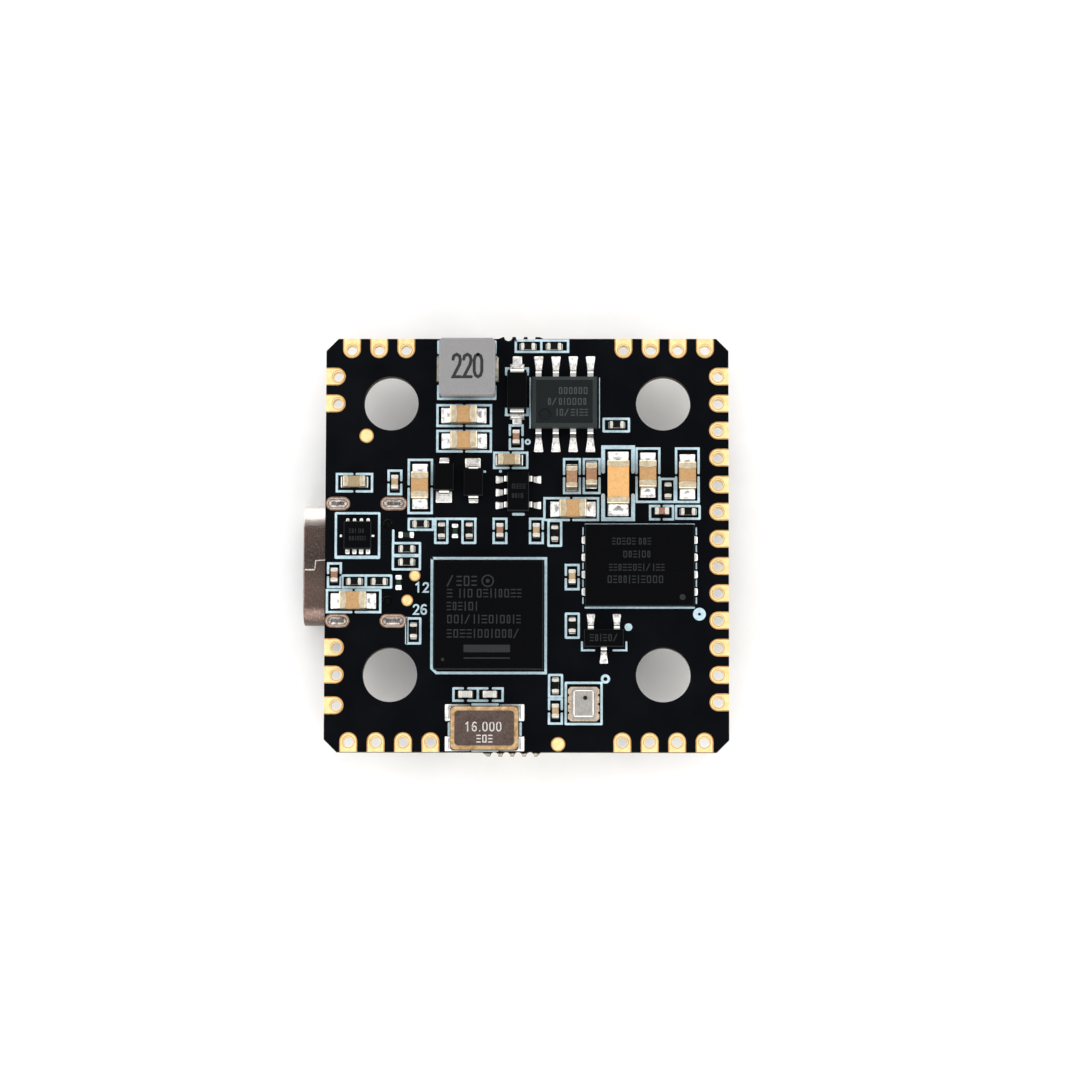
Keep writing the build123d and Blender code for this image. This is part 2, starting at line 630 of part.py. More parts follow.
def solder_ball():
    """A ball flattened between the board and the package."""
    ball = Pos(0, 0, BALL_STAND / 2) * Sphere(BALL_RADIUS)
    return ball & block(2 * BALL_RADIUS, 2 * BALL_RADIUS, BALL_STAND)


def save_processor():
    body = flat_package(PROCESSOR_SIDE, PROCESSOR_SIDE, BALL_STAND + PROCESSOR_HEIGHT, BALL_STAND)
    ball = solder_ball()
    row = spread(BALLS_PER_SIDE, BALL_PITCH)
    save("processor_body", [on_top(body, *PROCESSOR_AT)])
    save("processor_balls", [on_top(Pos(x, y, 0) * ball, *PROCESSOR_AT) for x in row for y in row])


# ---- Crystal -----------------------------------------------------------------------------------

def save_crystal():
    ring_length = CRYSTAL_LENGTH - 2 * CRYSTAL_RING_INSET
    ring_width = CRYSTAL_WIDTH - 2 * CRYSTAL_RING_INSET
    lid_length = ring_length - 2 * CRYSTAL_RING_WIDTH
    lid_width = ring_width - 2 * CRYSTAL_RING_WIDTH
    lid_level = CRYSTAL_BASE_HEIGHT + CRYSTAL_RING_HEIGHT
    cavity_floor = CRYSTAL_BASE_HEIGHT - CRYSTAL_CAVITY_DEPTH
    outline = RectangleRounded(CRYSTAL_LENGTH, CRYSTAL_WIDTH, CRYSTAL_CORNER)
    base = extrude(outline, amount=CRYSTAL_BASE_HEIGHT)
    base = base - block(CRYSTAL_CAVITY_LENGTH, CRYSTAL_CAVITY_WIDTH, CRYSTAL_CAVITY_DEPTH, z=cavity_floor)
    rim = RectangleRounded(ring_length, ring_width, CRYSTAL_RING_CORNER)
    rim = rim - RectangleRounded(CRYSTAL_CAVITY_LENGTH, CRYSTAL_CAVITY_WIDTH, CRYSTAL_CAVITY_CORNER)
    ring = Pos(0, 0, CRYSTAL_BASE_HEIGHT) * extrude(rim, amount=CRYSTAL_RING_HEIGHT)
    lid = rounded_block(lid_length, lid_width, CRYSTAL_LID_HEIGHT,
                        CRYSTAL_LID_CORNER, CRYSTAL_LID_RIM, lid_level)
    save("crystal_base", [on_top(base, *CRYSTAL_AT)])
    save("crystal_seal_ring", [on_top(ring, *CRYSTAL_AT)])
    save("crystal_lid", [on_top(lid, *CRYSTAL_AT)])
    save("crystal_blank", [on_top(crystal_blank(cavity_floor), *CRYSTAL_AT)])


def crystal_blank(cavity_floor):
    """The quartz plate, held at one end on a shelf so that it clears the cavity's floor."""
    shelf_x = (CRYSTAL_SHELF_LENGTH - CRYSTAL_BLANK_LENGTH) / 2
    plate = block(CRYSTAL_BLANK_LENGTH, CRYSTAL_BLANK_WIDTH, CRYSTAL_BLANK_THICKNESS,
                  z=cavity_floor + CRYSTAL_SHELF_HEIGHT)
    shelf = block(CRYSTAL_SHELF_LENGTH, CRYSTAL_BLANK_WIDTH, CRYSTAL_SHELF_HEIGHT,
                  x=shelf_x, z=cavity_floor)
    return plate + shelf


# ---- Barometer ---------------------------------------------------------------------------------

def barometer_base():
    """A small plate with clipped corners and half-round notches down two sides."""
    outline = Rectangle(BAROMETER_LENGTH, BAROMETER_DEPTH)
    outline = chamfer(outline.vertices(), BAROMETER_CHAMFER)
    notches = [Pos(side * BAROMETER_LENGTH / 2, y) * Circle(BAROMETER_NOTCH_RADIUS)
               for side in (-1, 1) for y in spread(BAROMETER_NOTCHES, BAROMETER_NOTCH_PITCH)]
    return extrude(outline - notches, amount=BAROMETER_BASE_HEIGHT)


def barometer_lid():
    """A drawn cap with a flange round its foot and a vent hole in its top."""
    shell = rounded_block(BAROMETER_LID_LENGTH, BAROMETER_LID_DEPTH, BAROMETER_LID_HEIGHT,
                          BAROMETER_LID_CORNER, BAROMETER_LID_RIM)
    flange_outline = RectangleRounded(BAROMETER_LID_LENGTH + 2 * BAROMETER_FLANGE,
                                      BAROMETER_LID_DEPTH + 2 * BAROMETER_FLANGE, BAROMETER_FLANGE_CORNER)
    flange = extrude(flange_outline, amount=BAROMETER_FLANGE_HEIGHT)
    hollow = block(BAROMETER_LID_LENGTH - 2 * BAROMETER_HOLLOW_SIDE,
                   BAROMETER_LID_DEPTH - 2 * BAROMETER_HOLLOW_SIDE,
                   BAROMETER_LID_HEIGHT - BAROMETER_LID_WALL)
    vent = disc(BAROMETER_VENT_RADIUS, BAROMETER_LID_HEIGHT, *BAROMETER_VENT_AT)
    return Pos(0, 0, BAROMETER_BASE_HEIGHT) * (shell + flange - hollow - vent)


def save_barometer():
    die = block(BAROMETER_DIE_SIDE, BAROMETER_DIE_SIDE, BAROMETER_DIE_HEIGHT, y=BAROMETER_DIE_Y,
                z=BAROMETER_BASE_HEIGHT)
    save("barometer_base", [on_top(barometer_base(), *BAROMETER_AT)])
    save("barometer_lid", [on_top(barometer_lid(), *BAROMETER_AT)])
    save("barometer_die", [on_top(die, *BAROMETER_AT)])


# ---- USB-C receptacle --------------------------------------------------------------------------

def usb_stadium(shrink, x, length):
    """A rounded bar of the shell's section, smaller by shrink on every side, running along X."""
    section = SlotOverall(USB_WIDTH - 2 * shrink, USB_HEIGHT - 2 * shrink)
    bar = extrude(Plane.YZ * section, amount=length)
    return Pos(x, USB_CENTRE_Y, -USB_HEIGHT / 2) * bar


def usb_shell():
    length = USB_REAR_X - USB_MOUTH_X
    skin = usb_stadium(0, USB_MOUTH_X, length)
    skin = fillet(skin.faces().sort_by(Axis.X)[0].edges(), USB_MOUTH_ROUNDING)
    leg_height = USB_HEIGHT / 2 + BOARD_THICKNESS + USB_LEG_ABOVE
    for x, y, _ in usb_leg_places():
        side = 1 if y > USB_CENTRE_Y else -1
        leg_y = USB_CENTRE_Y + side * (USB_WIDTH - USB_WALL) / 2
        skin = skin + block(USB_LEG_LENGTH, USB_WALL, leg_height, x, leg_y, -USB_HEIGHT / 2)
    skin = skin - usb_stadium(USB_WALL, USB_MOUTH_X, length)
    for x, y in usb_peg_places():
        skin = skin - disc(USB_PEG_HOLE_RADIUS, USB_WALL, x, y, -USB_WALL)
    return skin - usb_seam()


def usb_seam():
    """The cutter for the fine stepped line where the folded shell closes."""
    near = USB_CENTRE_Y + USB_SEAM_NEAR
    far = USB_CENTRE_Y + USB_SEAM_FAR
    step_x = USB_MOUTH_X + USB_SEAM_STEP
    runs = Polyline((USB_MOUTH_X, near), (step_x, near), (step_x, far), (USB_REAR_X, far))
    return Pos(0, 0, -USB_SEAM_DEPTH) * extrude(trace(runs, USB_SEAM_WIDTH), amount=USB_SEAM_DEPTH)


def usb_insulator():
    """The block that fills the shell's rear, with two pegs that stand in the board."""
    inset = USB_WALL + USB_BLOCK_SLACK
    body = usb_stadium(inset, USB_REAR_X - USB_BLOCK_LENGTH, USB_BLOCK_LENGTH)
    for x, y in usb_peg_places():
        body = body + disc(USB_PEG_RADIUS, USB_PEG_LENGTH + inset, x, y, -inset)
    return body


def usb_tongue():
    """The blade in the middle of the mouth, thicker at its root."""
    start = USB_MOUTH_X + USB_TONGUE_SETBACK
    end = USB_REAR_X - USB_BLOCK_LENGTH
    middle = -USB_HEIGHT / 2
    blade = block(end - start, USB_TONGUE_WIDTH, USB_TONGUE_HEIGHT,
                  (start + end) / 2, USB_CENTRE_Y, middle - USB_TONGUE_HEIGHT / 2)
    blade = chamfer(blade.faces().sort_by(Axis.X)[0].edges(), USB_TONGUE_BEVEL)
    root = block(USB_ROOT_LENGTH, USB_ROOT_WIDTH, USB_ROOT_HEIGHT,
                 end - USB_ROOT_LENGTH / 2, USB_CENTRE_Y, middle - USB_ROOT_HEIGHT / 2)
    return blade + root


def usb_contacts():
    """Contact strips on both faces of the tongue, and the tails soldered behind the shell."""
    strip_length, strip_width, strip_thickness, strip_setback = USB_STRIP
    tail_length, tail_width, tail_thickness = USB_TAIL
    strip_x = USB_MOUTH_X + USB_TONGUE_SETBACK + strip_setback + strip_length / 2
    tail_x = USB_REAR_X + tail_length / 2
    upper = (USB_TONGUE_HEIGHT - USB_HEIGHT) / 2
    lower = -(USB_TONGUE_HEIGHT + USB_HEIGHT) / 2 - strip_thickness
    pieces = []
    for step in spread(USB_CONTACTS, USB_CONTACT_PITCH):
        y = USB_CENTRE_Y + step
        pieces.append(block(strip_length, strip_width, strip_thickness, strip_x, y, upper))
        pieces.append(block(strip_length, strip_width, strip_thickness, strip_x, y, lower))
        pieces.append(block(tail_length, tail_width, tail_thickness, tail_x, y, -tail_thickness))
    return pieces


def save_usb():
    save("usb_shell", [usb_shell()])
    save("usb_insulator", [usb_insulator()])
    save("usb_tongue", [usb_tongue()])
    save("usb_contacts", usb_contacts())


# ---- Wire sockets ------------------------------------------------------------------------------

def socket_width(pins):
    return (pins - 1) * SOCKET_PITCH + SOCKET_EXTRA


def socket_prong(slack):
    """The straight part of a pin, from the mouth through the back wall, grown by a slack on its sides."""
    size = SOCKET_PIN + 2 * slack
    back = SOCKET_DEPTH / 2 + SOCKET_PIN
    level = SOCKET_HEIGHT - SOCKET_PIN_DROP - SOCKET_PIN / 2
    return block(size, SOCKET_PRONG_LENGTH, size, y=back - SOCKET_PRONG_LENGTH / 2, z=level - slack)


def socket_pin():
    """One bent pin: the prong, a drop behind the housing and a soldered foot."""
    back = SOCKET_DEPTH / 2
    top = SOCKET_HEIGHT - SOCKET_PIN_DROP + SOCKET_PIN / 2
    drop = block(SOCKET_PIN, SOCKET_PIN, top, y=back + SOCKET_PIN / 2)
    foot = block(SOCKET_PIN, SOCKET_FOOT, SOCKET_FOOT_THICKNESS, y=back + SOCKET_FOOT / 2)
    return socket_prong(0) + drop + foot


def socket_housing(pins):
    """A hollow block whose mouth is towards -Y, with latch notches and a hole for each pin."""
    width = socket_width(pins)
    mouth_y = -SOCKET_DEPTH / 2
    hollow = block(width - 2 * SOCKET_WALL, SOCKET_MOUTH_DEPTH, SOCKET_HEIGHT - 2 * SOCKET_WALL,
                   y=mouth_y + SOCKET_MOUTH_DEPTH / 2, z=SOCKET_WALL)
    notch_width, notch_depth, notch_inset = SOCKET_NOTCH
    notch_x = width / 2 - SOCKET_WALL - notch_inset
    notch_z = SOCKET_HEIGHT - SOCKET_WALL
    notch_y = mouth_y + notch_depth / 2
    notches = [block(notch_width, notch_depth, SOCKET_WALL, side * notch_x, notch_y, notch_z)
               for side in (-1, 1)]
    prong = socket_prong(SOCKET_PIN_GAP)
    holes = [Pos(x, 0, 0) * prong for x in spread(pins, SOCKET_PITCH)]
    return block(width, SOCKET_DEPTH, SOCKET_HEIGHT) - hollow - notches - holes


def socket_tab(pins):
    """A solder tab on the end of a housing, on +X."""
    depth, y, thickness, height, reach = SOCKET_TAB
    edge = socket_width(pins) / 2
    upright = block(thickness, depth, height, x=edge + thickness / 2, y=y)
    foot = block(reach, depth, SOCKET_FOOT_THICKNESS, x=edge + reach / 2, y=y)
    return upright + foot


def save_sockets():
    front_y = BOARD_FRONT + SOCKET_DEPTH / 2 + SOCKET_EDGE_GAP
    rear_y = BOARD_BACK - SOCKET_DEPTH / 2 - SOCKET_EDGE_GAP
    tabs = []
    pin = socket_pin()
    # A piece that hangs below the board is turned over, so the mouth's direction flips once.
    for name, pins, y, turn in (("front_socket", FRONT_SOCKET_PINS, front_y, 180),
                                ("rear_socket", REAR_SOCKET_PINS, rear_y, 0)):
        pin_row = [Pos(x, 0, 0) * pin for x in spread(pins, SOCKET_PITCH)]
        tab = socket_tab(pins)
        mirrored_tab = mirror(tab, Plane.YZ)
        save(f"{name}_housing", [on_underside(socket_housing(pins), 0, y, turn)])
        save(f"{name}_pins", [on_underside(piece, 0, y, turn) for piece in pin_row])
        tabs += [on_underside(tab, 0, y, turn), on_underside(mirrored_tab, 0, y, turn)]
    save("socket_tabs", tabs)


# ---- Boot button -------------------------------------------------------------------------------

def button_base():
    """A square block with a round well for the dome and the plunger."""
    base = block(BUTTON_LENGTH, BUTTON_WIDTH, BUTTON_BASE_HEIGHT)
    return base - disc(BUTTON_WELL_RADIUS, BUTTON_BASE_HEIGHT, z=BUTTON_FLOOR)


def button_cover():
    """A folded plate with a round opening and a flap down each long side."""
    plate = block(BUTTON_LENGTH, BUTTON_WIDTH, BUTTON_COVER_THICKNESS, z=BUTTON_BASE_HEIGHT)
    opening = disc(BUTTON_PLUNGER_RADIUS + BUTTON_CLEARANCE, BUTTON_COVER_THICKNESS, z=BUTTON_BASE_HEIGHT)
    flap_y = (BUTTON_WIDTH + BUTTON_COVER_THICKNESS) / 2
    flap_height = BUTTON_FLAP_HEIGHT + BUTTON_COVER_THICKNESS
    flap_level = BUTTON_BASE_HEIGHT - BUTTON_FLAP_HEIGHT
    flaps = [block(BUTTON_FLAP_LENGTH, BUTTON_COVER_THICKNESS, flap_height, y=side * flap_y, z=flap_level)
             for side in (-1, 1)]
    return plate + flaps - opening


def button_dome():
    """A shallow metal dome, cut from a hollow sphere."""
    sphere = (BUTTON_DOME_RADIUS ** 2 + BUTTON_DOME_HEIGHT ** 2) / (2 * BUTTON_DOME_HEIGHT)
    centre = BUTTON_FLOOR + BUTTON_DOME_HEIGHT - sphere
    skin = Pos(0, 0, centre) * (Sphere(sphere) - Sphere(sphere - BUTTON_DOME_THICKNESS))
    return skin & disc(BUTTON_DOME_RADIUS, BUTTON_DOME_HEIGHT, z=BUTTON_FLOOR)


def button_plunger():
    """A stem with a rounded rim, kept under the cover by a flange."""
    level = BUTTON_BASE_HEIGHT - BUTTON_FLANGE_HEIGHT - BUTTON_CLEARANCE / 2
    stem = disc(BUTTON_PLUNGER_RADIUS, BUTTON_FLANGE_HEIGHT + BUTTON_COVER_THICKNESS + BUTTON_ABOVE_COVER)
    stem = fillet(stem.faces().sort_by(Axis.Z)[-1].edges(), BUTTON_PLUNGER_ROUNDING)
    return Pos(0, 0, level) * (disc(BUTTON_FLANGE_RADIUS, BUTTON_FLANGE_HEIGHT) + stem)


def save_boot_button():
    save("boot_button_base", [on_underside(button_base(), *BUTTON_AT)])
    save("boot_button_cover", [on_underside(button_cover(), *BUTTON_AT)])
    save("boot_button_dome", [on_underside(button_dome(), *BUTTON_AT)])
    save("boot_button_plunger", [on_underside(button_plunger(), *BUTTON_AT)])


# ---- The whole board ---------------------------------------------------------------------------

os.makedirs("parts", exist_ok=True)
save_board()
save_chips()
save_inductor()
save_diodes()
save_buck_regulator()
save_linear_regulator()
save_transistor()
save_display_chip()
save_leadless()
save_processor()
save_crystal()
save_barometer()
save_usb()
save_sockets()
save_boot_button()
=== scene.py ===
import json
import math
import random

import bmesh
import bpy
from mathutils import Matrix, Vector


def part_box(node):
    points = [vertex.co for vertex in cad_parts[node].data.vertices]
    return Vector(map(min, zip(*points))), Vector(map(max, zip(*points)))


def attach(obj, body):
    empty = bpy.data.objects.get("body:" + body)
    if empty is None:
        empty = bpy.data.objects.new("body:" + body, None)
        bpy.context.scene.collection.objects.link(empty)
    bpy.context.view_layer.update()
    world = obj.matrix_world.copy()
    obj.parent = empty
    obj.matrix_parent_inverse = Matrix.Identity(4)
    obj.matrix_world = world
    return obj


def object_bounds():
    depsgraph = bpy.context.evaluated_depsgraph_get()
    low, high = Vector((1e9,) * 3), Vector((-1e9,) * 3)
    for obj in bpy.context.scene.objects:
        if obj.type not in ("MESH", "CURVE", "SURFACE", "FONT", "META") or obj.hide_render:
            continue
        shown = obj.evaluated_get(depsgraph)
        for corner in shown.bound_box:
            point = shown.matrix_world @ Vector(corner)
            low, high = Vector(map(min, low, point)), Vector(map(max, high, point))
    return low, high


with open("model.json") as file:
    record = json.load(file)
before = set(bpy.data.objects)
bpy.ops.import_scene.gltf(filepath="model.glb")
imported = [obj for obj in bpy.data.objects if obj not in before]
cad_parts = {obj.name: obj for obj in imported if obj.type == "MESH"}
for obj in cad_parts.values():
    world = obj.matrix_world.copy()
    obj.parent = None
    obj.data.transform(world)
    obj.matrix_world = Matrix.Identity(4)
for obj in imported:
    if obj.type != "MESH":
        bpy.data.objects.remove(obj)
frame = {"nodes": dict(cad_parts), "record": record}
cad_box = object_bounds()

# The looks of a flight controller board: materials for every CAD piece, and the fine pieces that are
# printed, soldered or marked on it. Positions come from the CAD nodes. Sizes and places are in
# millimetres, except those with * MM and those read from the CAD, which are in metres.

MM = 0.001

BOARD_LOW, BOARD_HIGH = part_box("circuit_board")
TOP = BOARD_HIGH.z
UNDERSIDE = BOARD_LOW.z
FLOOR = cad_box[0].z

INK_HEIGHT = 0.018 * MM
MARK_HEIGHT = 0.004 * MM
HEIGHT_STEP = 0.0004 * MM
SINK = 0.002 * MM
MARK_SINK = 0.001 * MM

# How level a face is, 0 to 1, where metal and moulded bodies change from their painted slope colour (a darker
# reflection on tin, a grey highlight on moulded bevels) to their level colour
SLOPE_TIN_PAINTED_REFLECTION = (0.45, 0.9)
SLOPE_MOULD_PAINTED_HIGHLIGHT = (0.75, 0.96)

random.seed(20)


# ---- Reading the CAD ----

def islands(node):
    """The points of every separate solid of a CAD node, in a steady order."""
    mesh = frame["nodes"][node].data
    places = [tuple(round(c * 1e7) for c in vertex.co) for vertex in mesh.vertices]
    leader = {place: place for place in places}

    def root(place):
        while leader[place] != place:
            leader[place] = leader[leader[place]]
            place = leader[place]
        return place

    for edge in mesh.edges:
        a, b = (root(places[v]) for v in edge.vertices)
        leader[a] = b
    solids = {}
    for vertex, place in zip(mesh.vertices, places):
        solids.setdefault(root(place), []).append(vertex.co)
    return sorted(solids.values(), key=lambda points: tuple(round(c * 1e6) for c in box_of(points)[0]))


def box_of(points):
    low = Vector(min(p[i] for p in points) for i in range(3))
    high = Vector(max(p[i] for p in points) for i in range(3))
    return low, high


def is_on_top(box):
    return (box[0].z + box[1].z) / 2 > (TOP + UNDERSIDE) / 2


# ---- Materials ----

class Nodes:
    """Short calls that add nodes to the tree of a material or of the studio."""

    def __init__(self, owner):
        owner.use_nodes = True
        self.tree = owner.node_tree

    def node(self, kind, settings=None, **inputs):
        made = self.tree.nodes.new(kind)
        for label, value in (settings or {}).items():
            setattr(made, label, value)
        for label, value in inputs.items():
            self.feed(made.inputs[label.replace("_", " ")], value)
        return made

    def feed(self, socket, value):
        if isinstance(value, bpy.types.NodeSocket):
            self.tree.links.new(value, socket)
        else:
            socket.default_value = value

    def ramp(self, value, *stops):
        """A colour ramp. Each stop is a place and a colour."""
        made = self.node("ShaderNodeValToRGB", Fac=value)
        band = made.color_ramp
        while len(band.elements) < len(stops):
            band.elements.new(0.5)
        for element, (where, colour) in zip(band.elements, stops):
            element.position = where
            element.color = (*colour, 1.0)
        return made.outputs["Color"]


class Shader(Nodes):
    """A principled material."""

    def __init__(self, name, **values):
        self.material = bpy.data.materials.new(name)
        super().__init__(self.material)
        self.surface = self.tree.nodes["Principled BSDF"]
        self.relief = None
        for label, value in values.items():
            self.surface.inputs[label.replace("_", " ")].default_value = value

    def place(self):
        return self.node("ShaderNodeTexCoord").outputs["Object"]

    def along(self, axis):
        """The place along one axis, in metres."""
        return self.node("ShaderNodeSeparateXYZ", Vector=self.place()).outputs[axis]

    def noise_at(self, place, scale, detail, roughness):
        made = self.node("ShaderNodeTexNoise", Vector=place, Scale=scale, Detail=detail, Roughness=roughness)
        return made.outputs["Fac"]

    def noise(self, size, detail, roughness=0.55):
        """Noise whose features are about size across."""
        return self.noise_at(self.place(), 1 / (size * MM), detail, roughness)

    def drawn_noise(self, pitch, detail, roughness):
        """Noise squeezed to a pitch along x, y and z."""
        mapping = self.node("ShaderNodeMapping", Vector=self.place())
        mapping.inputs["Scale"].default_value = [1 / (p * MM) for p in pitch]
        return self.noise_at(mapping.outputs["Vector"], 1.0, detail, roughness)

    def tones(self, value, dark, light, low=0.3, high=0.7):
        """A ramp between two colours."""
        return self.ramp(value, (low, dark), (high, light))

    def between(self, value, low, high):
        """Maps 0..1 to low..high."""
        made = self.node("ShaderNodeMapRange", Value=value, To_Min=low, To_Max=high)
        return made.outputs["Result"]

    def step(self, value, low, high):
        """Maps low..high to 0..1."""
        made = self.node("ShaderNodeMapRange", Value=value, From_Min=low, From_Max=high)
        return made.outputs["Result"]

    def mix(self, factor, first, second):
        made = self.node("ShaderNodeMix", {"data_type": "RGBA"})
        self.feed(made.inputs[0], factor)
        for socket, colour in ((6, first), (7, second)):
            is_link = isinstance(colour, bpy.types.NodeSocket)
            self.feed(made.inputs[socket], colour if is_link else (*colour, 1.0))
        return made.outputs[2]

    def math(self, operation, first, second=0.0):
        made = self.node("ShaderNodeMath", {"operation": operation})
        self.feed(made.inputs[0], first)
        self.feed(made.inputs[1], second)
        return made.outputs[0]

    def facing_z(self):
        """1 on faces that look straight up or down, 0 on upright faces."""
        normal = self.node("ShaderNodeNewGeometry").outputs["Normal"]
        split = self.node("ShaderNodeSeparateXYZ", Vector=normal)
        return self.math("ABSOLUTE", split.outputs["Z"])

    def colour(self, value):
        self.feed(self.surface.inputs["Base Color"], value)

    def roughness(self, value):
        self.feed(self.surface.inputs["Roughness"], value)

    def uneven(self, size, detail, low, high):
        """Roughness that drifts between two values."""
        self.roughness(self.between(self.noise(size, detail), low, high))

    def bump(self, height, depth, strength):
        """Relief of the given depth, over any relief made before."""
        made = self.node("ShaderNodeBump", Height=height, Distance=depth * MM, Strength=strength)
        if self.relief is not None:
            self.feed(made.inputs["Normal"], self.relief)
        self.relief = made.outputs["Normal"]
        self.feed(self.surface.inputs["Normal"], self.relief)

    def grain(self, size, detail, depth, strength):
        self.bump(self.noise(size, detail), depth, strength)

    def skin(self, uneven, grain):
        """The finished material, with uneven shine and a grain."""
        self.uneven(*uneven)
        self.grain(*grain)
        return self.material


# The board's broken tabs: how far from their tips the lacquer has flaked, and the bare laminate's colour
TORN_END = 0.10 * MM
TORN_START = 0.20 * MM
TORN_SPREAD = 0.12 * MM
TORN_COLOUR = (0.55, 0.47, 0.34)


def solder_mask():
    """Dark glossy lacquer over glass laminate, whose cut edges show pale fibres."""
    s = Shader("solder_mask", Specular_IOR_Level=0.035)
    weave = s.node("ShaderNodeTexWave", {"bands_direction": "X"}, Vector=s.place(), Scale=900.0,
                   Distortion=1.5)
    lacquer = s.tones(s.noise(3.0, 2), (0.0018, 0.0022, 0.0032), (0.0030, 0.0036, 0.0052), 0.35, 0.65)
    fibre = s.noise(0.12, 4)
    laminate = s.tones(fibre, (0.03, 0.026, 0.02), (0.10, 0.09, 0.07))
    flat = s.step(s.facing_z(), 0.4, 0.6)
    torn = s.math("ADD", s.along("Y"), s.between(fibre, -TORN_SPREAD, TORN_SPREAD))
    sound = s.step(torn, BOARD_LOW.y + TORN_END, BOARD_LOW.y + TORN_START)
    s.colour(s.mix(flat, laminate, s.mix(sound, TORN_COLOUR, lacquer)))
    s.roughness(s.mix(flat, (0.7, 0.7, 0.7), (0.34, 0.34, 0.34)))
    s.grain(0.35, 2, 0.004, 0.5)
    s.bump(weave.outputs["Fac"], 0.0015, 0.4)
    return s.material


def gold_plating():
    """Matt immersion gold over nickel, faintly uneven in tone."""
    s = Shader("gold_plating", Metallic=0.55, Specular_IOR_Level=0.3)
    s.colour(s.ramp(s.noise(0.5, 4), (0.25, (0.88, 0.62, 0.26)), (0.55, (0.98, 0.79, 0.39)),
                    (0.8, (1.0, 0.88, 0.54))))
    return s.skin((0.15, 3, 0.42, 0.62), (0.05, 3, 0.002, 0.6))


def tin(name, dark, light, rough, wave, metallic, painted_slope_reflection=None, stops=(0.3, 0.7)):
    """Bright tin or solder, with a painted darker reflection on its sloping faces. wave is the length and
    depth of the waves in its skin."""
    s = Shader(name, Metallic=metallic)
    skin = s.tones(s.noise(0.3, 4), dark, light, *stops)
    if painted_slope_reflection:
        # Painted darker reflection on sloping faces, laid over the tin's own tone
        skin = s.mix(s.step(s.facing_z(), *SLOPE_TIN_PAINTED_REFLECTION), painted_slope_reflection, skin)
    s.colour(skin)
    s.uneven(0.1, 3, *rough)
    s.grain(wave[0], 2, wave[1], 0.8)
    s.grain(0.03, 3, 0.002, 0.5)
    return s.material


def mould_compound(name, dark, light, specular, painted_slope_reflection):
    """Black epoxy with a fine sand-blasted grain, and a painted grey highlight on the sloping bevels round
    the edges.
    """
    s = Shader(name, Specular_IOR_Level=specular)
    top = s.tones(s.noise(0.06, 4), dark, light, 0.3, 0.75)
    # Painted highlight: the sloping bevels take the lighter grey colour
    s.colour(s.mix(s.step(s.facing_z(), *SLOPE_MOULD_PAINTED_HIGHLIGHT), painted_slope_reflection, top))
    return s.skin((0.4, 2, 0.5, 0.66), (0.05, 4, 0.006, 0.7))


# Where the small capacitors from a tan reel stand, and how far each spot reaches
TAN_0402 = ((0.7, 0.6), (3.33, -2.8), (-9.7, 4.15), (2.12, -12.7))
SPOT_REACH = 0.7 * MM
# Where the other capacitors change reel, along x
REEL_CHANGE = (0.1 * MM, 0.2 * MM)


def fired_ceramic(name, dark, light, other=None, spots=()):
    """Fired dielectric with a soft mottle. Parts from another reel take other colours: those near the given
    spots, or with no spots those right of the board's centre line."""
    s = Shader(name, Specular_IOR_Level=0.4)
    mottle = s.noise(0.16, 5)
    body = s.tones(mottle, dark, light)
    if other:
        second = s.tones(mottle, *other)
        if not spots:
            body = s.mix(s.step(s.along("X"), *REEL_CHANGE), body, second)
        for x, y in spots:
            flat_place = s.node("ShaderNodeCombineXYZ", X=s.along("X"), Y=s.along("Y"))
            away = s.node("ShaderNodeVectorMath", {"operation": "DISTANCE"})
            s.feed(away.inputs[0], flat_place.outputs["Vector"])
            s.feed(away.inputs[1], (x * MM, y * MM, 0.0))
            body = s.mix(s.math("LESS_THAN", away.outputs["Value"], SPOT_REACH), body, second)
    s.colour(body)
    return s.skin((0.08, 3, 0.38, 0.55), (0.05, 4, 0.003, 0.6))


def resistor_body():
    """White alumina with black glaze on the face that looks away from the board."""
    s = Shader("resistor_black", Specular_IOR_Level=0.12)
    alumina = s.tones(s.noise(0.05, 3), (0.42, 0.42, 0.40), (0.62, 0.62, 0.60))
    glaze = s.tones(s.noise(0.08, 3), (0.0012, 0.0014, 0.0014), (0.005, 0.0052, 0.005))
    s.colour(s.mix(s.step(s.facing_z(), 0.5, 0.7), alumina, glaze))
    return s.skin((0.1, 2, 0.3, 0.45), (0.06, 3, 0.003, 0.5))


def pressed_powder():
    """The inductor's grey pressed core: a speckled, slightly pitted skin."""
    s = Shader("ferrite_grey", Specular_IOR_Level=0.35)
    speck = s.noise(0.07, 5, 0.7)
    fine = s.ramp(speck, (0.3, (0.18, 0.176, 0.178)), (0.55, (0.255, 0.25, 0.252)),
                  (0.8, (0.32, 0.315, 0.315)))
    s.colour(s.mix(s.between(s.noise(1.2, 2), 0.0, 0.35), fine, (0.20, 0.196, 0.2)))
    s.roughness(s.between(speck, 0.5, 0.7))
    s.grain(0.09, 4, 0.008, 0.6)
    return s.material


def drawn_metal(name, dark, light, rough, pitch=(0.02, 0.5, 0.5), metallic=1.0, depth=0.002):
    """Metal with fine drawn lines, at a pitch along x, y and z."""
    s = Shader(name, Metallic=metallic)
    lines = s.drawn_noise(pitch, 3, 0.5)
    tone = s.math("ADD", s.math("MULTIPLY", lines, 0.6), s.math("MULTIPLY", s.noise(1.0, 3), 0.4))
    s.colour(s.tones(tone, dark, light, 0.35, 0.65))
    s.roughness(s.between(lines, *rough))
    s.bump(lines, depth, 0.6)
    return s.material


# Where the shell's painted reflections start and end along y
PAINTED_REFLECTION_SPAN = (-6.2 * MM, 2.7 * MM)


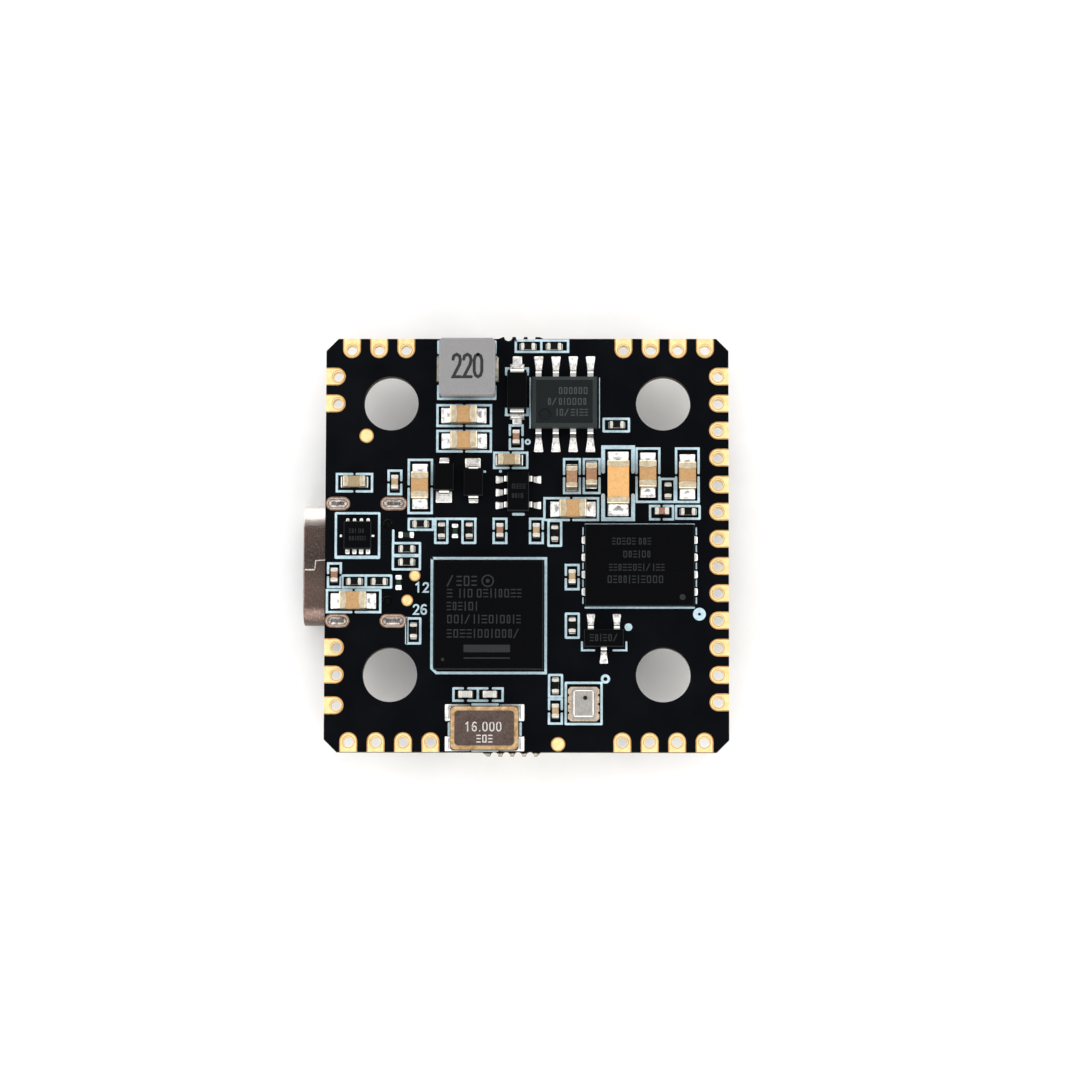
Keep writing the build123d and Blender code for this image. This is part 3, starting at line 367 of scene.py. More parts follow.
def shell_nickel():
    """Drawn nickel with painted reflections along y: a painted highlight at the high-y end and painted dark
    reflection towards the middle.
    """
    s = Shader("shell_nickel", Metallic=1.0)
    lines = s.drawn_noise((0.9, 0.035, 0.9), 3, 0.55)
    # Painted reflections: the tone ramp follows y, darkest towards the middle, with a painted highlight at
    # the high end
    along = s.math("ADD", s.step(s.along("Y"), *PAINTED_REFLECTION_SPAN), s.between(lines, -0.05, 0.05))
    tone = s.ramp(along, (0.0, (0.11, 0.075, 0.062)), (0.12, (0.16, 0.108, 0.09)),
                  (0.3, (0.19, 0.13, 0.108)), (0.55, (0.085, 0.062, 0.056)), (0.80, (0.14, 0.095, 0.082)),
                  (0.88, (0.74, 0.68, 0.64)), (1.0, (0.92, 0.88, 0.84)))
    speck = s.drawn_noise((0.09, 0.2, 0.2), 5, 0.75)
    s.colour(s.mix(s.step(speck, 0.48, 0.86), tone, (0.42, 0.33, 0.29)))
    s.roughness(s.between(lines, 0.24, 0.42))
    s.bump(lines, 0.002, 0.6)
    s.bump(speck, 0.006, 0.7)
    return s.material


def nylon(name, dark, light, specular=0.4):
    s = Shader(name, Specular_IOR_Level=specular)
    s.colour(s.tones(s.noise(0.8, 3), dark, light))
    return s.skin((0.2, 3, 0.45, 0.6), (0.06, 4, 0.004, 0.5))


def clear_part(name, tint, rough, transmission):
    s = Shader(name, Transmission_Weight=transmission, IOR=1.5)
    s.colour(s.tones(s.noise(0.5, 2), tint, [min(1.0, c * 1.12) for c in tint]))
    s.uneven(0.2, 2, *rough)
    return s.material


def silkscreen_ink():
    """Pale printed ink, thin enough at places to go slightly blue-grey."""
    s = Shader("silkscreen_ink", Specular_IOR_Level=0.3)
    s.colour(s.ramp(s.noise(0.25, 4), (0.25, (0.36, 0.50, 0.56)), (0.5, (0.46, 0.62, 0.69)),
                    (0.75, (0.58, 0.73, 0.79))))
    return s.skin((0.1, 3, 0.5, 0.7), (0.06, 3, 0.004, 0.6))


def laser_mark(name, dark, light):
    s = Shader(name, Specular_IOR_Level=0.3)
    s.colour(s.tones(s.noise(0.05, 4, 0.7), dark, light, 0.35, 0.65))
    return s.skin((0.05, 2, 0.6, 0.8), (0.04, 3, 0.003, 0.8))


# The materials of the record's slots, each named after its slot. A pack may hold the plain name already,
# so the name can end in a dot and a number.
SLOT_MATERIALS = [
    solder_mask(),
    gold_plating(),
    tin("tin", (0.66, 0.62, 0.54), (0.92, 0.88, 0.79), (0.34, 0.52), (0.22, 0.02), 0.7),
    # The last colour is a painted grey highlight on the bodies' bevelled edges
    mould_compound("mould_compound", (0.0006, 0.0007, 0.0010), (0.0036, 0.0037, 0.0043), 0.025,
                   (0.016, 0.018, 0.020)),
    pressed_powder(),
    drawn_metal("copper", (0.55, 0.22, 0.10), (0.85, 0.42, 0.24), (0.25, 0.4)),
    fired_ceramic("capacitor_tan", (0.38, 0.21, 0.085), (0.50, 0.30, 0.135)),
    fired_ceramic("capacitor_brown", (0.26, 0.19, 0.10), (0.36, 0.275, 0.165),
                  ((0.27, 0.14, 0.07), (0.38, 0.21, 0.12))),
    fired_ceramic("capacitor_pale", (0.42, 0.43, 0.42), (0.58, 0.59, 0.57)),
    resistor_body(),
    fired_ceramic("crystal_ceramic", (0.05, 0.045, 0.04), (0.09, 0.08, 0.07)),
    drawn_metal("crystal_lid_metal", (0.072, 0.047, 0.038), (0.145, 0.102, 0.09), (0.4, 0.6),
                (0.12, 0.12, 0.12), 0.7, 0.006),
    clear_part("quartz", (0.8, 0.84, 0.88), (0.02, 0.08), 0.9),
    drawn_metal("sensor_lid_metal", (0.52, 0.49, 0.45), (0.74, 0.71, 0.67), (0.28, 0.42), (0.08, 0.4, 0.4)),
    fired_ceramic("sensor_substrate", (0.28, 0.21, 0.15), (0.72, 0.58, 0.44)),
    drawn_metal("silicon", (0.16, 0.17, 0.22), (0.24, 0.25, 0.32), (0.08, 0.16), (0.3, 0.3, 0.3)),
    shell_nickel(),
    nylon("black_nylon", (0.003, 0.003, 0.0035), (0.008, 0.008, 0.009), 0.12),
    nylon("cream_nylon", (0.62, 0.57, 0.44), (0.72, 0.67, 0.54)),
    drawn_metal("button_metal", (0.52, 0.52, 0.52), (0.74, 0.74, 0.74), (0.22, 0.36), (0.5, 0.03, 0.5)),
    nylon("button_white", (0.68, 0.68, 0.64), (0.78, 0.78, 0.75)),
    clear_part("led_resin", (0.78, 0.76, 0.6), (0.2, 0.35), 0.25),
]
SILK = silkscreen_ink()
# The last colour is a painted darker reflection on the joints' sloping faces
SOLDER = tin("solder", (0.52, 0.50, 0.48), (1.0, 0.98, 0.95), (0.2, 0.4), (0.2, 0.035), 0.5,
             (0.24, 0.23, 0.22), (0.34, 0.50))
BEAD_TIN = tin("bead_tin", (0.88, 0.87, 0.85), (1.0, 1.0, 0.99), (0.3, 0.45), (0.2, 0.006), 0.3)
# The last colour is a painted dark reflection on the sloping solder inside each slot
SLOT_SOLDER = tin("slot_solder", (0.10, 0.085, 0.075), (0.50, 0.46, 0.43), (0.15, 0.35), (0.25, 0.06), 1.0,
                  (0.04, 0.035, 0.03))
# Painted shade: a darker gold line laid along pad edges and round pad holes
PAD_RIM_PAINTED_SHADE = tin("painted_pad_edge_shade", (0.46, 0.22, 0.06), (0.74, 0.42, 0.16), (0.4, 0.55), (0.22, 0.01), 0.5)
GREY_MARK = laser_mark("grey_mark", (0.005, 0.006, 0.007), (0.017, 0.019, 0.021))
BUCK_MARK = laser_mark("buck_mark", (0.028, 0.032, 0.034), (0.058, 0.064, 0.066))
# Painted highlight: a bright metal line laid along the shell's seam and round each slot's ring
PAINTED_HIGHLIGHT_METAL = tin("painted_highlight_metal", (0.70, 0.58, 0.52), (0.98, 0.92, 0.88), (0.2, 0.35), (0.1, 0.004), 0.6)
BLACK_MARK = laser_mark("black_mark", (0.010, 0.010, 0.012), (0.028, 0.028, 0.030))
PALE_MARK = laser_mark("pale_mark", (0.42, 0.39, 0.37), (0.62, 0.59, 0.56))
DARK_GAP = laser_mark("dark_gap", (0.004, 0.010, 0.006), (0.012, 0.032, 0.018))
# The last colour is a painted dark reflection on the leads' bent, sloping faces
LEAD_TIN = tin("lead_tin", (0.80, 0.78, 0.74), (0.98, 0.96, 0.92), (0.16, 0.3), (0.25, 0.012), 1.0,
               (0.05, 0.048, 0.045))
# The last colour is a painted darker reflection on the terminals' sloping faces
CAPACITOR_TIN = tin("capacitor_tin", (0.60, 0.49, 0.32), (0.92, 0.81, 0.60), (0.25, 0.4), (0.22, 0.012),
                    0.75, (0.24, 0.19, 0.12))
LEADED_PARTS = ["rectifier", "signal_diode", "buck_regulator", "linear_regulator", "transistor"]
# CAD nodes whose look differs from the rest of their record slot
NODE_MATERIALS = {
    "usb_slot_rings": drawn_metal("slot_ring", (0.22, 0.125, 0.075), (0.58, 0.38, 0.26), (0.3, 0.45),
                                  (0.2, 0.2, 0.2)),
    # The last colour is a painted highlight on the body's bevelled edges
    "buck_regulator_body": mould_compound("buck_mould", (0.0012, 0.0028, 0.0032), (0.0045, 0.007, 0.008),
                                          0.19, (0.013, 0.018, 0.019)),
    "capacitor_1206_body": fired_ceramic("capacitor_1206", (0.60, 0.32, 0.115), (0.72, 0.41, 0.16)),
    "capacitor_0402_bodies": fired_ceramic("capacitor_0402", (0.22, 0.115, 0.075), (0.33, 0.18, 0.115),
                                           ((0.33, 0.23, 0.12), (0.46, 0.34, 0.19)), TAN_0402),
    "inductor_terminals": tin("dull_tin", (0.22, 0.21, 0.18), (0.66, 0.63, 0.54), (0.35, 0.55),
                              (0.15, 0.02), 0.6),
    "flash_memory_terminals": BEAD_TIN,
    "crystal_seal_ring": drawn_metal("seal_ring", (0.52, 0.28, 0.10), (0.98, 0.69, 0.37), (0.25, 0.4),
                                     (0.3, 0.3, 0.3), 0.7),
    **{part + "_leads": LEAD_TIN for part in LEADED_PARTS},
    **{"capacitor_" + size + "_terminals": CAPACITOR_TIN for size in ("1206", "0805", "0603")},
}


def paint_cad_nodes():
    """Every CAD node takes the procedural material of its record slot, or its own."""
    by_slot = {material.name.split(".")[0]: material for material in SLOT_MATERIALS}
    for entry in frame["record"]["subparts"]:
        material = NODE_MATERIALS.get(entry["node"], by_slot[entry["material_slot"]])
        mesh = frame["nodes"][entry["node"]].data
        mesh.materials.clear()
        mesh.materials.append(material)


# ---- Mesh building ----

# How round a frame's inner corner is, as a share of its outer corner
INNER_CORNER = 0.3


class Sheet:
    """Collects thin raised shapes at one level, on a face of the board or on top of a part."""

    def __init__(self, name, material, level, height=INK_HEIGHT, up=1, mirror=None):
        self.name = name
        self.material = material
        self.level = level
        self.height = height
        self.up = up
        self.mirror = mirror
        self.mesh = bmesh.new()
        self.count = 0

    def head(self):
        """The next shape's far level. Each one is a hair higher than the last, so none are coplanar."""
        self.count += 1
        return self.level + (self.height + HEIGHT_STEP * (self.count % 7)) * self.up

    def loop(self, outline, level):
        """A loop of points. With a mirror line x, marks on the underside read right from below."""
        if self.mirror is not None:
            outline = [(2 * self.mirror - x, y) for x, y in outline]
        return [self.mesh.verts.new((x * MM, y * MM, level)) for x, y in outline]

    def wall(self, first, second):
        for i in range(len(first)):
            j = (i + 1) % len(first)
            self.mesh.faces.new((first[i], first[j], second[j], second[i]))

    def slab(self, outline):
        """A flat prism of any outline."""
        low = self.loop(outline, self.level)
        high = self.loop(outline, self.head())
        self.mesh.faces.new(high)
        self.mesh.faces.new(low[::-1])
        self.wall(low, high)

    def ring(self, inner, outer):
        """A closed band between two outlines with the same number of points."""
        foot, head = self.level, self.head()
        corners = ((inner, foot), (inner, head), (outer, head), (outer, foot))
        loops = [self.loop(outline, level) for outline, level in corners]
        for k in range(4):
            self.wall(loops[k], loops[(k + 1) % 4])

    def line(self, points, width):
        self.slab(stroke(points, width))

    def dot(self, x, y, radius):
        self.slab(circle(x, y, radius))

    def circle_line(self, x, y, inner, outer):
        self.ring(circle(x, y, inner), circle(x, y, outer))

    def frame(self, left, right, low, high, line, corner=0.1):
        """A closed frame, measured to its outer edge."""
        outer = (left, right, low, high)
        inner = widened(outer, -line)
        self.ring(box_outline(inner, corner * INNER_CORNER), box_outline(outer, corner))

    def finish(self, slot):
        finish_mesh(self.mesh, self.name, self.material, smooth=False)


def add_to_scene(name, data):
    made = bpy.data.objects.new(name, data)
    bpy.context.scene.collection.objects.link(made)
    return made


def mesh_object(mesh, name, material):
    data = bpy.data.meshes.new(name)
    mesh.to_mesh(data)
    mesh.free()
    data.materials.append(material)
    return add_to_scene(name, data)


def finish_mesh(mesh, name, material, smooth=True):
    bmesh.ops.recalc_face_normals(mesh, faces=mesh.faces)
    piece = mesh_object(mesh, name, material)
    if smooth:
        piece.data.polygons.foreach_set("use_smooth", [True] * len(piece.data.polygons))
    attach(piece, "board")


def arc(cx, cy, radius, start, end, steps):
    """Points of an arc, in degrees."""
    turns = [math.radians(start + (end - start) * i / steps) for i in range(steps + 1)]
    return [(cx + radius * math.cos(turn), cy + radius * math.sin(turn)) for turn in turns]


def circle(cx, cy, radius, steps=28):
    return arc(cx, cy, radius, 0, 360 * (steps - 1) / steps, steps - 1)


def rounded(cx, cy, width, height, corner, steps=5):
    """The outline of a rounded rectangle."""
    corner = min(corner, width / 2 * 0.999, height / 2 * 0.999)
    points = []
    for quarter, (sx, sy) in enumerate(((1, 1), (-1, 1), (-1, -1), (1, -1))):
        points += arc(cx + sx * (width / 2 - corner), cy + sy * (height / 2 - corner), corner,
                      quarter * 90, quarter * 90 + 90, steps)
    return points


def stroke(points, width):
    """The outline of a line with round ends that runs through a few points."""
    half = width / 2
    path = [Vector(p) for p in points]
    ways = [(end - start).normalized() for start, end in zip(path, path[1:])]
    left, right = [], []
    for point, before, after in zip(path, ways[:1] + ways, ways + ways[-1:]):
        way = (before + after).normalized()
        side = Vector((-way.y, way.x)) * (half / max(way.dot(after), 0.5))
        left.append(tuple(point + side))
        right.append(tuple(point - side))
    caps = []
    for end, (x, y) in ((path[0], left[0]), (path[-1], right[-1])):
        start = math.degrees(math.atan2(y - end.y, x - end.x))
        caps.append(arc(*end, half, start, start + 180, 5))
    return caps[0] + right[1:-1] + caps[1] + left[-2:0:-1]


# ---- Printed frames and dots ----

LINE = 0.17
# left, right, low, high edge of each printed frame, by where the frame is open
CLOSED_FRAMES = [
    (5.54, 7.57, 7.85, 8.95), (-8.75, -6.8, 0.57, 1.54), (-13.6, -11.7, -3.68, -2.64),
    (-11.88, -9.85, -3.68, -2.64), (10.85, 12.75, 1.4, 2.5), (-6.8, -5.75, -0.4, 1.54),
    (-4.8, -3.7, -0.4, 1.54), (1.5, 2.6, -0.6, 1.4), (9.7, 10.93, 2.64, 4.5), (2.79, 3.9, -7.36, -5.43),
    (-8.82, -7.7, -7.79, -5.79), (1.57, 2.68, -11.68, -9.93), (-14.1, -10.75, -1.5, 1.95),
    (2.79, 5.57, -13.68, -10.5), (-9.9, -7.75, -1.3, -0.25), (-9.9, -7.75, -2.35, -1.2),
]
FRAMES_OPEN_TOP_AND_BOTTOM = [
    (-6.68, -2.58, 8.25, 9.95), (-6.68, -2.58, 6.36, 8.05), (1.2, 5.3, 1.3, 3.07),
    (-14.72, -10.64, -5.5, -3.71), (-2.5, 0.1, 5.14, 6.43), (-14.05, -11.3, 3.4, 4.85),
    (8.95, 10.8, 1.35, 2.5),
]
FRAMES_OPEN_AT_SIDES = [
    (-8.77, -6.9, 1.8, 5.9), (7.96, 9.8, 2.64, 6.75), (10.86, 12.68, 2.64, 6.75), (2.64, 3.96, 3.29, 5.96),
    (4.09, 5.41, 3.29, 5.96), (-1.35, -0.25, 6.55, 8.45), (-10.25, -9.15, 3.2, 5.1),
    (-14.65, -13.55, -3.65, -1.75), (-2.52, -1.42, -0.4, 1.55), (0.15, 1.25, -0.4, 1.55),
    (2.78, 3.88, -3.8, -1.85), (1.57, 2.67, -13.65, -11.7),
]
SMALL_GAP = 0.32
# line width, then the points of each printed line
LINES = [
    (LINE, [(-6.55, 14.6), (-6.55, 13.75)]),
    (LINE, [(-6.55, 11.3), (-6.55, 10.35), (-2.35, 10.35), (-2.35, 11.3)]),
    (LINE, [(-2.35, 13.75), (-2.35, 14.6)]),
    (LINE, [(-0.85, 14.68), (-0.85, 13.84), (3.0, 13.84), (3.0, 14.68), (-0.85, 14.68)]),
    (LINE, [(1.03, 13.84), (1.03, 14.68)]),
    (0.12, [(0.22, 8.2), (0.22, 11.9)]), (0.06, [(5.32, 8.2), (5.32, 11.9)]),
    *((0.18, [(x, near), (x, end), (x + turn, end)])
      for near, end in ((12.15, 12.6), (9.6, 9.15)) for x, turn in ((-1.54, 0.24), (0.04, -0.24))),
    (0.2, [(-1.0, 1.8), (-0.25, 1.8)]), (0.24, [(-13.97, -1.38), (-10.88, -1.38)]),
    (0.14, [(4.05, -7.6), (4.05, -8.2), (4.95, -8.2)]), (0.14, [(6.35, -8.2), (7.3, -8.2), (7.3, -7.6)]),
    (0.28, [(5.59, 3.2), (5.59, 1.44), (7.79, 1.44), (7.79, 3.2)]),
    (0.28, [(5.59, 4.95), (5.59, 6.76), (7.79, 6.76), (7.79, 4.95)]),
    (LINE, [(-9.8, 0.6), (-9.8, -0.3)]), (LINE, [(-6.75, 1.46), (-3.75, 1.46)]),
    (LINE, [(-8.8, -7.7), (-8.8, -5.85)]),
    (LINE, [(-5.65, -14.4), (-5.65, -13.55)]), (LINE, [(-0.42, -14.4), (-0.42, -13.55)]),
    (LINE, [(-3.95, -12.18), (-2.1, -12.18)]), (0.14, [(-3.95, -15.56), (-2.1, -15.56)]),
    (LINE, [(-5.33, -11.0), (-5.33, -11.9), (-4.65, -11.9)]), (LINE, [(-5.33, -11.0), (-4.65, -11.0)]),
    (LINE, [(-4.25, -11.0), (-2.85, -11.0)]), (LINE, [(-4.25, -11.9), (-2.85, -11.9)]),
    (LINE, [(-3.55, -11.0), (-3.55, -11.9)]),
    (LINE, [(-2.45, -11.0), (-1.74, -11.0), (-1.74, -11.9), (-2.45, -11.9)]),
    (0.12, [(4.3, 1.06), (12.25, 1.06)]), (0.14, [(4.3, -5.07), (12.25, -5.07)]),
    (0.19, [(-6.95, -1.45), (1.4, -1.45), (1.4, -9.87), (-6.6, -9.87), (-6.95, -9.52), (-6.95, -1.45)]),
]
DOTS = [(-1.95, 4.98, 0.11), (-3.1, 4.95, 0.1), (7.45, -6.5, 0.28)]
RINGS = [(12.64, -5.54, 0.47, 0.11), (5.77, -10.3, 0.34, 0.15), (0.05, 7.15, 0.22, 0.09)]
# The fine lines beside the flash memory's ends: their two sides, and where they start and end
FLASH_SIDES = (4.12, 12.42)
FLASH_LINES = ((-4.75, -4.35), (-3.5, -3.05), (-2.2, -1.8), (-0.95, -0.5), (0.3, 0.8))
FLASH_LINE = 0.1
# Plain figures printed beside two test pads: text, left end, foot and height
PRINTED_FIGURES = [("12", -8.15, -3.92, 0.66), ("26", -8.3, -5.55, 0.68)]
PRINTED_PITCH = 0.56
PRINTED_LINE = 0.13

UNDERSIDE_LINE = 0.15
# Chip parts with a frame on the underside, and whether some of them lie along x. Those are the ones whose
# ceramic, between their ends, is narrower along x.
FRAMED_CHIPS = (("capacitor_0402_bodies", True), ("resistor_bodies", True), ("status_led_bodies", False))
# How far a chip part's frame reaches past its ceramic at the ends, and at the sides along x and along y
FRAME_ENDS = 0.62
FRAME_SIDES = (0.16, 0.26)
# Packages with a frame on the underside, and how far it reaches past them along x and y
FRAMED_PACKAGES = (("display_chip_body", 0.2, -0.35), ("motion_sensor_body", 0.65, 0.45),
                   ("boot_button_cover", 0.55, 0.35))
# The dots at two packages' first contacts: by the left lower (0) or upper (1) corner, the place past it,
# and the radius
FIRST_CONTACT_DOTS = (("display_chip_body", 0, -0.55, -0.4, 0.18), ("motion_sensor_body", 1, -0.8, 0.6, 0.16))
# How far the lines at a wire socket's back corners stand off, and how far they run along x and y
SOCKET_GAP = (0.3, 0.25)
SOCKET_RUN = (1.0, 1.5)


def mm_box(node):
    return [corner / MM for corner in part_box(node)]


def half_frames(sheet, edges, open_at_sides):
    """A frame in two halves, open in the middle of two opposite sides."""
    half = LINE / 2
    left, right, low, high = edges
    left, right, low, high = left + half, right - half, low + half, high - half
    x, y = (left + right) / 2, (low + high) / 2
    for side, gap in ((0, -SMALL_GAP / 2), (1, SMALL_GAP / 2)):
        if open_at_sides:
            end = (low, high)[side]
            points = [(left, y + gap), (left, end), (right, end), (right, y + gap)]
        else:
            end = (left, right)[side]
            points = [(x + gap, low), (end, low), (end, high), (x + gap, high)]
        sheet.line(points, LINE)


def print_top():
    sheet = Sheet("silkscreen_top", SILK, TOP - SINK)
    for text, x, y, height in PRINTED_FIGURES:
        write_figures(sheet, text, x, y, height, PRINTED_PITCH, PRINTED_LINE)
    for edges in CLOSED_FRAMES:
        sheet.frame(*edges, LINE)
    for edges in FRAMES_OPEN_TOP_AND_BOTTOM:
        half_frames(sheet, edges, False)
    for edges in FRAMES_OPEN_AT_SIDES:
        half_frames(sheet, edges, True)
    for width, points in LINES:
        sheet.line(points, width)
    for dot in DOTS:
        sheet.dot(*dot)
    for x, y, outer, inner in RINGS:
        sheet.circle_line(x, y, inner, outer)
    for side in FLASH_SIDES:
        for low, high in FLASH_LINES:
            sheet.line([(side, low), (side, high)], FLASH_LINE)
    sheet.finish("silkscreen_ink")


def chip_frame(edges, may_turn):
    """The frame round a chip part whose ceramic is given, with room for its ends and their joints."""
    left, right, low, high = edges
    if may_turn and right - left < high - low:
        return left - FRAME_ENDS, right + FRAME_ENDS, low - FRAME_SIDES[0], high + FRAME_SIDES[0]
    return left - FRAME_SIDES[1], right + FRAME_SIDES[1], low - FRAME_ENDS, high + FRAME_ENDS


def print_underside():
    sheet = Sheet("silkscreen_underside", SILK, UNDERSIDE + SINK, up=-1)
    for node, may_turn in FRAMED_CHIPS:
        for points in islands(node):
            if not is_on_top(box_of(points)):
                sheet.frame(*chip_frame(plan(points), may_turn), UNDERSIDE_LINE)
    for node, past_x, past_y in FRAMED_PACKAGES:
        low, high = mm_box(node)
        sheet.frame(low.x - past_x, high.x + past_x, low.y - past_y, high.y + past_y, UNDERSIDE_LINE)
    for node, corner, past_x, past_y, radius in FIRST_CONTACT_DOTS:
        box = mm_box(node)
        sheet.dot(box[0].x + past_x, box[corner].y + past_y, radius)
    for node, away in (("front_socket_housing", 1), ("rear_socket_housing", -1)):
        low, high = mm_box(node)
        back = high.y + SOCKET_GAP[1] if away > 0 else low.y - SOCKET_GAP[1]
        near = back - away * SOCKET_RUN[1]
        for side, edge in ((-1, low.x - SOCKET_GAP[0]), (1, high.x + SOCKET_GAP[0])):
            inner = edge - side * SOCKET_RUN[0]
            sheet.line([(edge, near), (edge, back), (inner, back)], UNDERSIDE_LINE)
    sheet.finish("silkscreen_ink")


# ---- Solder ----

RADIAL_STEPS = (0.15, 0.3, 0.45, 0.58, 0.69, 0.78, 0.86, 0.92, 0.965, 0.99)
FILM = 0.035
SHOULDER = 0.07
# How fast a joint falls away from the part it climbs, and a pad's flare opens
CLIMB_CURVE = 2.2
FLARE_CURVE = 1.5
# Where along a flared pad its full width begins, and how narrow a lead's pad starts
FLARE_END = 0.75
LEAD_WAIST = 0.66
# How far a lead's pad reaches back from its heel
HEEL_COVER = 0.02


def apart(edges, x, y):
    """How far a point is outside a rectangle."""
    return math.hypot(max(edges[0] - x, 0, x - edges[1]), max(edges[2] - y, 0, y - edges[3]))


class Solder:
    """Collects solder joints: a film over each pad that climbs the sides of whatever is soldered there."""

    def __init__(self, name, level, up, material):
        self.name = name
        self.level = level - up * SINK
        self.up = up
        self.material = material
        self.mesh = bmesh.new()

    def joint(self, pad, core=None, climb=0.0, reach=0.3, corner=0.08, film=FILM, way=None, waist=1.0):
        """pad and core are left, right, low, high. climb is how high the solder wets the core, and reach
        how far out it rises. With a way out, the pad narrows to a waist near the part and flares outward."""
        cx, cy = middle_of(pad)
        rim = [waisted(x, y, pad, way, waist) for x, y in box_outline(pad, corner, 4)]
        short = min(pad[1] - pad[0], pad[3] - pad[2]) / 2

        def height(x, y, inward):
            edge = min(1.0, inward * short / SHOULDER) ** 0.5
            rise = film
            if core:
                rise += (climb - film) * max(0.0, 1 - apart(core, x, y) / reach) ** CLIMB_CURVE
            return rise * edge

        def vertex(x, y, z):
            return self.mesh.verts.new((x * MM, y * MM, self.level + self.up * z * MM))

        centre = vertex(cx, cy, height(cx, cy, 1.0))
        loops = []
        for step in RADIAL_STEPS:
            points = [(cx + (x - cx) * step, cy + (y - cy) * step) for x, y in rim]
            loops.append([vertex(x, y, height(x, y, 1 - step)) for x, y in points])
        loops.append([vertex(x, y, 0.0) for x, y in rim])
        count = len(rim)
        for i in range(count):
            self.mesh.faces.new((centre, loops[0][i], loops[0][(i + 1) % count]))
        for inner, outer in zip(loops, loops[1:]):
            for i in range(count):
                j = (i + 1) % count
                self.mesh.faces.new((inner[i], outer[i], outer[j], inner[j]))
        self.mesh.faces.new(loops[-1][::-1])

    def finish(self):
        finish_mesh(self.mesh, self.name, self.material)


def flare(along, waist):
    """The width of a pad as a share of its full width, along the way out from the part, 0 to 1."""
    return waist + (1 - waist) * min(1.0, max(0.0, along) / FLARE_END) ** FLARE_CURVE


def waisted(x, y, pad, way, waist):
    """A pad's rim point, drawn in towards the pad's axis near the part."""
    if way is None or waist == 1.0:
        return x, y
    cx, cy = middle_of(pad)
    if way[0]:
        along = 0.5 + way[0] * (x - cx) / (pad[1] - pad[0])
        return x, cy + (y - cy) * flare(along, waist)
    along = 0.5 + way[1] * (y - cy) / (pad[3] - pad[2])
    return cx + (x - cx) * flare(along, waist), y


# node with the ends, node with the bodies, then how far the pad reaches past the end, past its
# sides, and under the body, and the share of the end's height that the solder wets
CHIP_JOINTS = [
    ("capacitor_1206_terminals", ["capacitor_1206_body"], 0.78, -0.02, 0.1, 0.45),
    ("capacitor_0805_terminals", ["capacitor_0805_bodies"], 0.66, -0.04, 0.1, 0.45),
    ("capacitor_0603_terminals", ["capacitor_0603_bodies"], 0.2, 0.02, 0.1, 0.5),
    ("capacitor_0402_terminals", ["capacitor_0402_bodies", "load_capacitor_bodies"], 0.07, 0.02, 0.05, 0.6),
    ("resistor_terminals", ["resistor_bodies"], 0.12, 0.0, -0.02, 0.6),
    ("status_led_terminals", ["status_led_bodies"], 0.35, 0.05, 0.05, 0.5),
    ("inductor_terminals", ["inductor_core"], 0.0, 0.0, 0.2, 0.25),
    ("motion_sensor_terminals", ["motion_sensor_body"], 0.12, 0.02, 0.1, 0.0),
]
# node with the leads, node with the bodies, then how far the pad reaches past the foot and past its
# sides, and how high the solder climbs
LEAD_JOINTS = [
    ("buck_regulator_leads", "buck_regulator_body", 0.55, 0.14, 0.2),
    ("linear_regulator_leads", "linear_regulator_body", 0.27, 0.09, 0.14),
    ("transistor_leads", "transistor_body", 0.6, 0.1, 0.16),
    ("rectifier_leads", "rectifier_body", 0.1, 0.05, 0.2),
    ("signal_diode_leads", "signal_diode_bodies", 0.12, 0.0, 0.12),
    ("display_chip_leads", "display_chip_body", 0.35, 0.04, 0.14),
    ("front_socket_pins", "front_socket_housing", 0.4, 0.12, 0.2),
    ("rear_socket_pins", "rear_socket_housing", 0.4, 0.12, 0.2),
]
FOOT_HEIGHT = 0.28
# How far out a joint rises, as a share of its pad's reach, which counts as this much at least
RISE_SHARE = 0.95
LEAST_REACH = 0.15
# Pads with solder and no part on them
SWITCH_PAD_PLACES = (-13.15, -12.65, -12.15, -11.65)
BARE_PADS = [
    (-9.42, -9.1, 0.05, 0.5), (-8.6, -8.28, 0.05, 0.5), (-9.62, -9.16, -3.02, -2.68),
    (-9.62, -9.16, -3.78, -3.42), (-5.5, -5.04, 0.8, 1.1), (-5.5, -5.04, 0.03, 0.35),
    (-1.08, -0.38, 12.75, 13.5), (-1.08, -0.38, 8.45, 9.1), (-6.7, -5.5, 2.65, 3.5),
    (-4.55, -3.4, 5.2, 5.95),
    *((x - 0.12, x + 0.12, 1.22, 1.5) for x in SWITCH_PAD_PLACES),
    *((x - 0.16, x + 0.16, -1.15, -0.72) for x in SWITCH_PAD_PLACES),
    (-13.73, -13.53, 0.1, 0.3), (-11.53, -11.18, 0.12, 0.28),
]
BARE_FOOTPRINT_GAPS = [(-9.1, -8.6, 0.1, 0.45), (-9.56, -9.22, -3.42, -3.02), (-5.44, -5.1, 0.35, 0.8)]
GAP_HEIGHT = 0.01 * MM
CRYSTAL_PADS = [(*x, *y) for y in ((-13.4, -12.15), (-15.6, -14.5)) for x in ((-5.95, -4.1), (-1.98, -0.15))]
TAB_MARGIN = 0.25
# The boot button's four pads: past the cover's sides, in from its ends, half width, half height
BUTTON_PAD = (0.05, 0.45, 0.38, 0.32)
BEAD_MARGIN = 0.03
BEAD_HEIGHT = 0.07


def plan(points):
    """The edges of some points seen from above: left, right, low, high."""
    low, high = box_of(points)
    return low.x / MM, high.x / MM, low.y / MM, high.y / MM


def middle_of(edges):
    return (edges[0] + edges[1]) / 2, (edges[2] + edges[3]) / 2


def widened(edges, margin):
    left, right, low, high = edges
    return left - margin, right + margin, low - margin, high + margin


